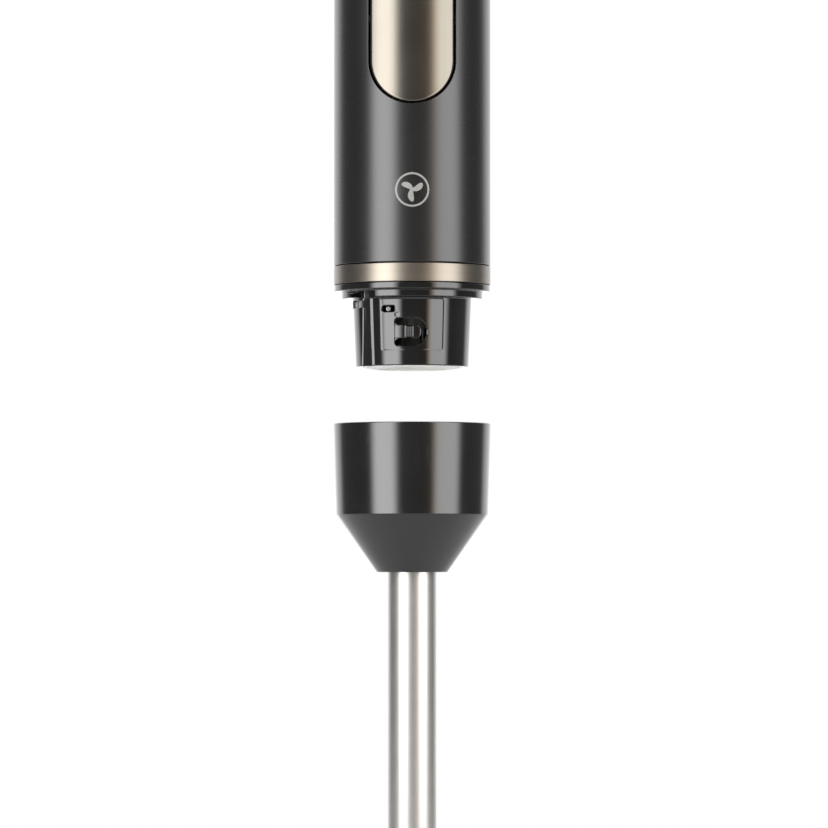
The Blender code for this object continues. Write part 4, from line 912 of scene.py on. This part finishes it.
SLEEVE_IN, FLANGE_R = 0.0042, GLAND_R + 0.0018
FLANGE_LOW, FLANGE_TOP = CAP_HIGH.z + 0.0003, CAP_HIGH.z + 0.0019
sleeve = lathe("gland_sleeve", rounded([
    (SLEEVE_IN, GLAND_HIGH.z, 0.0003), (GLAND_R - 0.0006, GLAND_HIGH.z, 0.0012),
    (GLAND_R, FLANGE_TOP, 0.0003), (FLANGE_R, FLANGE_TOP, 0.0005), (FLANGE_R, FLANGE_LOW, 0.0002),
    (GLAND_R, FLANGE_LOW, 0), (GLAND_R, GLAND_LOW.z, 0.0003), (SLEEVE_IN, GLAND_LOW.z, 0.0003)]), 96)
rib = block("rib", (GLAND_R - 0.0006, -0.0004, CAP_HIGH.z + 0.0017),
            (GLAND_R + 0.00035, 0.0004, GLAND_HIGH.z - 0.0016))
sleeve = over(joined("gland_sleeve", sleeve, repeated("ribs", rib, 18, RUBBER, turn=TURN / 18)), GLAND)
piece("gland_sleeve", sleeve, RUBBER, "handle", "rubber", "cord_gland")


# ---------- shaft housing
CUP_LOW, CUP_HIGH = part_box("shaft_cup")
CUP_R = CUP_HIGH.x
CUP_IN = CUP_R - 0.0024
INSERT_LOW, INSERT_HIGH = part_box("coupler_insert")
TUBE_LOW, TUBE_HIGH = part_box("steel_tube")
TUBE_R = TUBE_HIGH.x
SHOULDER = INSERT_LOW.z - 0.0003
shoulder_r = CUP_R - 0.00105
CONE_END_R = TUBE_R + 0.0042
cup = lathe("cup_shell", rounded([
    (CUP_R - 0.00002, CUP_HIGH.z, 0.0005), (shoulder_r, SHOULDER, 0.0011), (CONE_END_R, CUP_LOW.z, 0.0004),
    (TUBE_R + 0.0003, CUP_LOW.z, 0), (TUBE_R + 0.0003, TUBE_HIGH.z - 0.0030, 0),
    (CUP_IN - 0.0035, SHOULDER - 0.0009, 0), (CUP_IN - 0.0002, SHOULDER, 0), (CUP_IN, SHOULDER + 0.0010, 0),
    (CUP_IN, CUP_HIGH.z, 0.0005)], 8, 0.0004), 320)
lugs = repeated("lugs", block("lug", (0.0208, -0.0015, CUP_HIGH.z - 0.0055),
                              (CUP_IN + 0.0008, 0.0015, CUP_HIGH.z - 0.0035), 0.0003, LUG_ANGLE),
                2, CUP_BLACK, turn=math.pi)
piece("cup_shell", joined("cup_shell", cup, lugs), CUP_BLACK, "shaft_housing", "gloss_black", "shaft_cup")

INSERT_IN, HOLD_R = INSERT_HIGH.x - 0.00325, 0.0055
FLOOR = SHOULDER + 0.0030
liner = lathe("cup_liner", rounded([
    (INSERT_HIGH.x, INSERT_HIGH.z, 0.0004), (INSERT_HIGH.x, INSERT_LOW.z, 0.0003), (HOLD_R, INSERT_LOW.z, 0),
    (HOLD_R, FLOOR, 0.0003), (INSERT_IN, FLOOR, 0.0008), (INSERT_IN, INSERT_HIGH.z, 0.0006)]))
piece("cup_liner", liner, GREY, "shaft_housing", "grey_plastic", "coupler_insert")

tube = lathe("shaft_tube", rounded([
    (TUBE_R, TUBE_HIGH.z, 0.0001), (TUBE_R, TUBE_LOW.z, 0.0001), (TUBE_R - 0.001, TUBE_LOW.z, 0),
    (TUBE_R - 0.001, TUBE_HIGH.z, 0)]))
piece("shaft_tube", tube, STEEL, "shaft_housing", "stainless_steel", "steel_tube")

BELL_LOW, BELL_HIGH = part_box("bell_guard")
BELL_R, BELL_WALL = BELL_HIGH.x, 0.0012
SKIRT_TOP, DOME_TOP = BELL_LOW.z + 0.0130, BELL_HIGH.z - 0.0060


def bell_mesh():
    dome = []
    for t in np.linspace(0, 1, 33):
        swell = 0.35 * t + 0.65 * smooth_steps(t, 0, 1)
        dome.append((TUBE_R + (BELL_R - TUBE_R) * swell, DOME_TOP + (SKIRT_TOP - DOME_TOP) * t ** 1.35))
    inside = [(r - BELL_WALL, z - BELL_WALL * 0.8) for r, z in dome][::-1]
    seal_r = TUBE_R - 0.001 - BELL_WALL * 0.2 + 0.0003
    profile = [(TUBE_R - 0.00012, BELL_HIGH.z), (TUBE_R, BELL_HIGH.z - 0.00012)] + dome
    profile += [(BELL_R, SKIRT_TOP - 0.001), (BELL_R, BELL_LOW.z + 0.0004)]
    half = BELL_WALL / 2
    profile += [(BELL_R - half + half * math.cos(a), BELL_LOW.z + 0.0004 - 0.0004 * math.sin(a))
                for a in np.linspace(0.3, math.pi - 0.3, 7)]
    profile += [(BELL_R - BELL_WALL, BELL_LOW.z + 0.0004)] + inside[:-1]
    profile += [(seal_r, DOME_TOP - BELL_WALL), (seal_r, BELL_HIGH.z)]
    return lathe("bell_shroud", profile, 288)


def bell_cut(outline, angle):
    return turned(prism("bell_cut", outline, -0.045, -TUBE_R - 0.001), angle)


scallop = arc_points(0, BELL_LOW.z, 0.0070, 0, TURN, 65)[:-1]
VENT_MID = (SKIRT_TOP + DOME_TOP) / 2
vent = round_box(-0.0024, 0.0024, VENT_MID - 0.0045, VENT_MID + 0.0045, 0.00239, 12)
bell_cuts = [bell_cut(scallop, k * QUARTER) for k in range(4)]
bell_cuts += [bell_cut(vent, math.pi / 4 + k * QUARTER) for k in range(4)]
piece("bell_shroud", carved(bell_mesh(), *bell_cuts), STEEL, "shaft_housing", "stainless_steel", "bell_guard")


# ---------- blade, ground to an edge
BLADE_LOW, BLADE_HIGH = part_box("blade")
BLADE_R, BLADE_HUB, BLADE_T, BEND = BLADE_HIGH.x, 0.0055, 0.0014, 0.0034
BLADE_Z, BEND_R = BLADE_LOW.z + BEND, BLADE_HIGH.x * 0.45


def blade_mesh():
    reach = np.concatenate([np.linspace(0, 0.9, 46)[:-1], np.linspace(0.9, 0.998, 22)]) * BLADE_R
    xs = np.concatenate([-reach[:0:-1], reach])
    shares = np.concatenate([np.linspace(0, 0.4, 9)[:-1], np.linspace(0.4, 1, 7)])
    points = []
    for layer in (0, 1):
        for x in xs:
            r = abs(x)
            lead = BLADE_HUB * np.interp(r, [0, BEND_R, 0.8 * BLADE_R, 0.97 * BLADE_R, BLADE_R],
                                         [-0.95, -0.95, -0.75, -0.2, 0.45])
            back = BLADE_HUB * np.interp(r, [0, BEND_R, 0.93 * BLADE_R, BLADE_R], [0.95, 0.95, 0.62, 0.45])
            ground = smooth_steps(r, BEND_R * 0.85, BEND_R * 1.05)
            lift = math.copysign(BEND, x) * max(r - BEND_R, 0) / (BLADE_R - BEND_R)
            for share in shares if x >= 0 else 1 - shares:    # the other wing is this one turned half round
                y = lead + (back - lead) * share
                bevel = ground * (1 - min((y - lead) / 0.0024, 1)) * (BLADE_T - 0.0002)
                z = BLADE_Z + lift + (0 if layer else BLADE_T - bevel)
                points.append((x, y * math.copysign(1, x), z))
    return sheet_mesh("blade_ground", points, len(xs), len(shares))


hub_hole = rod("hub_hole", 0.00315, BLADE_Z - 0.002, BLADE_Z + 0.004, 48)
blade = carved(blade_mesh(), hub_hole)
piece("blade_ground", blade, HARD_STEEL, "spindle", "stainless_steel", "blade", sharp=28)


# ---------- floor, surroundings and camera
paper = recipe("floor_paper")
fibre = paper.noise(paper.at, 260.0, 4.0, 0.7)
paper_tint = paper.mixed(fibre, grey(0.60), grey(0.64))
paper.surface(paper_tint, 0.75 + fibre * 0.1, paper.bump(0.2, 0.0001, fibre))
FLOOR_R, FLOOR_Z = 0.80, CAD_BOX[0][2]
floor = moved(rod("studio_floor", FLOOR_R, 0, -0.002, 128), lambda x, y, z: (x, y, z + FLOOR_Z))
floor_object = placed("studio_floor", smoothed(floor, paper.owner, 30))

world = bpy.data.worlds.new("soft_studio")
bpy.context.scene.world = world
sky = Recipe(world)
facing = sky.node("ShaderNodeNewGeometry")
split = sky.node("ShaderNodeSeparateXYZ", {}, {0: facing}).socket.node
east, north, up = (Value(sky, socket) for socket in split.outputs)
bearing = east.maths("ARCTAN2", east, -north) * (180 / math.pi)
height = up.maths("ARCSINE", up) * (180 / math.pi)


def strip(centre, half, soft=7):
    """1 within a strip of bearings, in degrees, with soft edges."""
    return 1 - (bearing - centre).size().between(half - soft, half + soft)


AMBIENT, FLAGS, REAR, BELOW, LEFT_BOX, RIGHT_BOX = 0.30, 0.26, 1.7, 1.45, 9.2, 6.4
tall = 1 - height.size().between(52, 68)
flags = bearing.size().between(64, 76) * (1 - bearing.size().between(118, 132))
rear = bearing.size().between(124, 138)
below = (-height).between(20, 60)
light = AMBIENT * (1 - flags) * (1 - rear) + flags * FLAGS + rear * REAR
light = light * (1 - below) + below * BELOW
light = light + strip(-42.5, 18) * tall * LEFT_BOX + strip(53, 20) * tall * RIGHT_BOX
warmed = sky.mixed(strip(23, 13) * (1 - below), grey(1), (1, 0.83, 0.64, 1))
seen = sky.node("ShaderNodeLightPath")
tint = sky.mixed(seen, warmed, grey(1))                        # the camera sees a plain white backdrop
lit = sky.node("ShaderNodeVectorMath", {"operation": "SCALE"}, {0: tint, "Scale": light * (1 - seen) + seen})
backdrop = sky.tree.nodes["Background"]
backdrop.inputs["Strength"].default_value = 1.0
sky.tree.links.new(lit.socket, backdrop.inputs["Color"])

CAMERA_X, CAMERA_AWAY, CAMERA_DROP, AIM_DROP = 0.00067, 1.7, 0.0918, 0.0451
camera = bpy.data.cameras.new("front_camera")
camera.sensor_width, camera.lens = 36.0, 199.4
camera_object = placed("front_camera", camera)
camera_object.location = (CAMERA_X, -CAMERA_AWAY, SEAT - CAMERA_DROP)
aim = Vector((CAMERA_X, 0, SEAT - AIM_DROP)) - camera_object.location
camera_object.rotation_euler = aim.to_track_quat("-Z", "Y").to_euler()
bpy.context.scene.camera = camera_object
bpy.context.scene.view_settings.view_transform = "Standard"
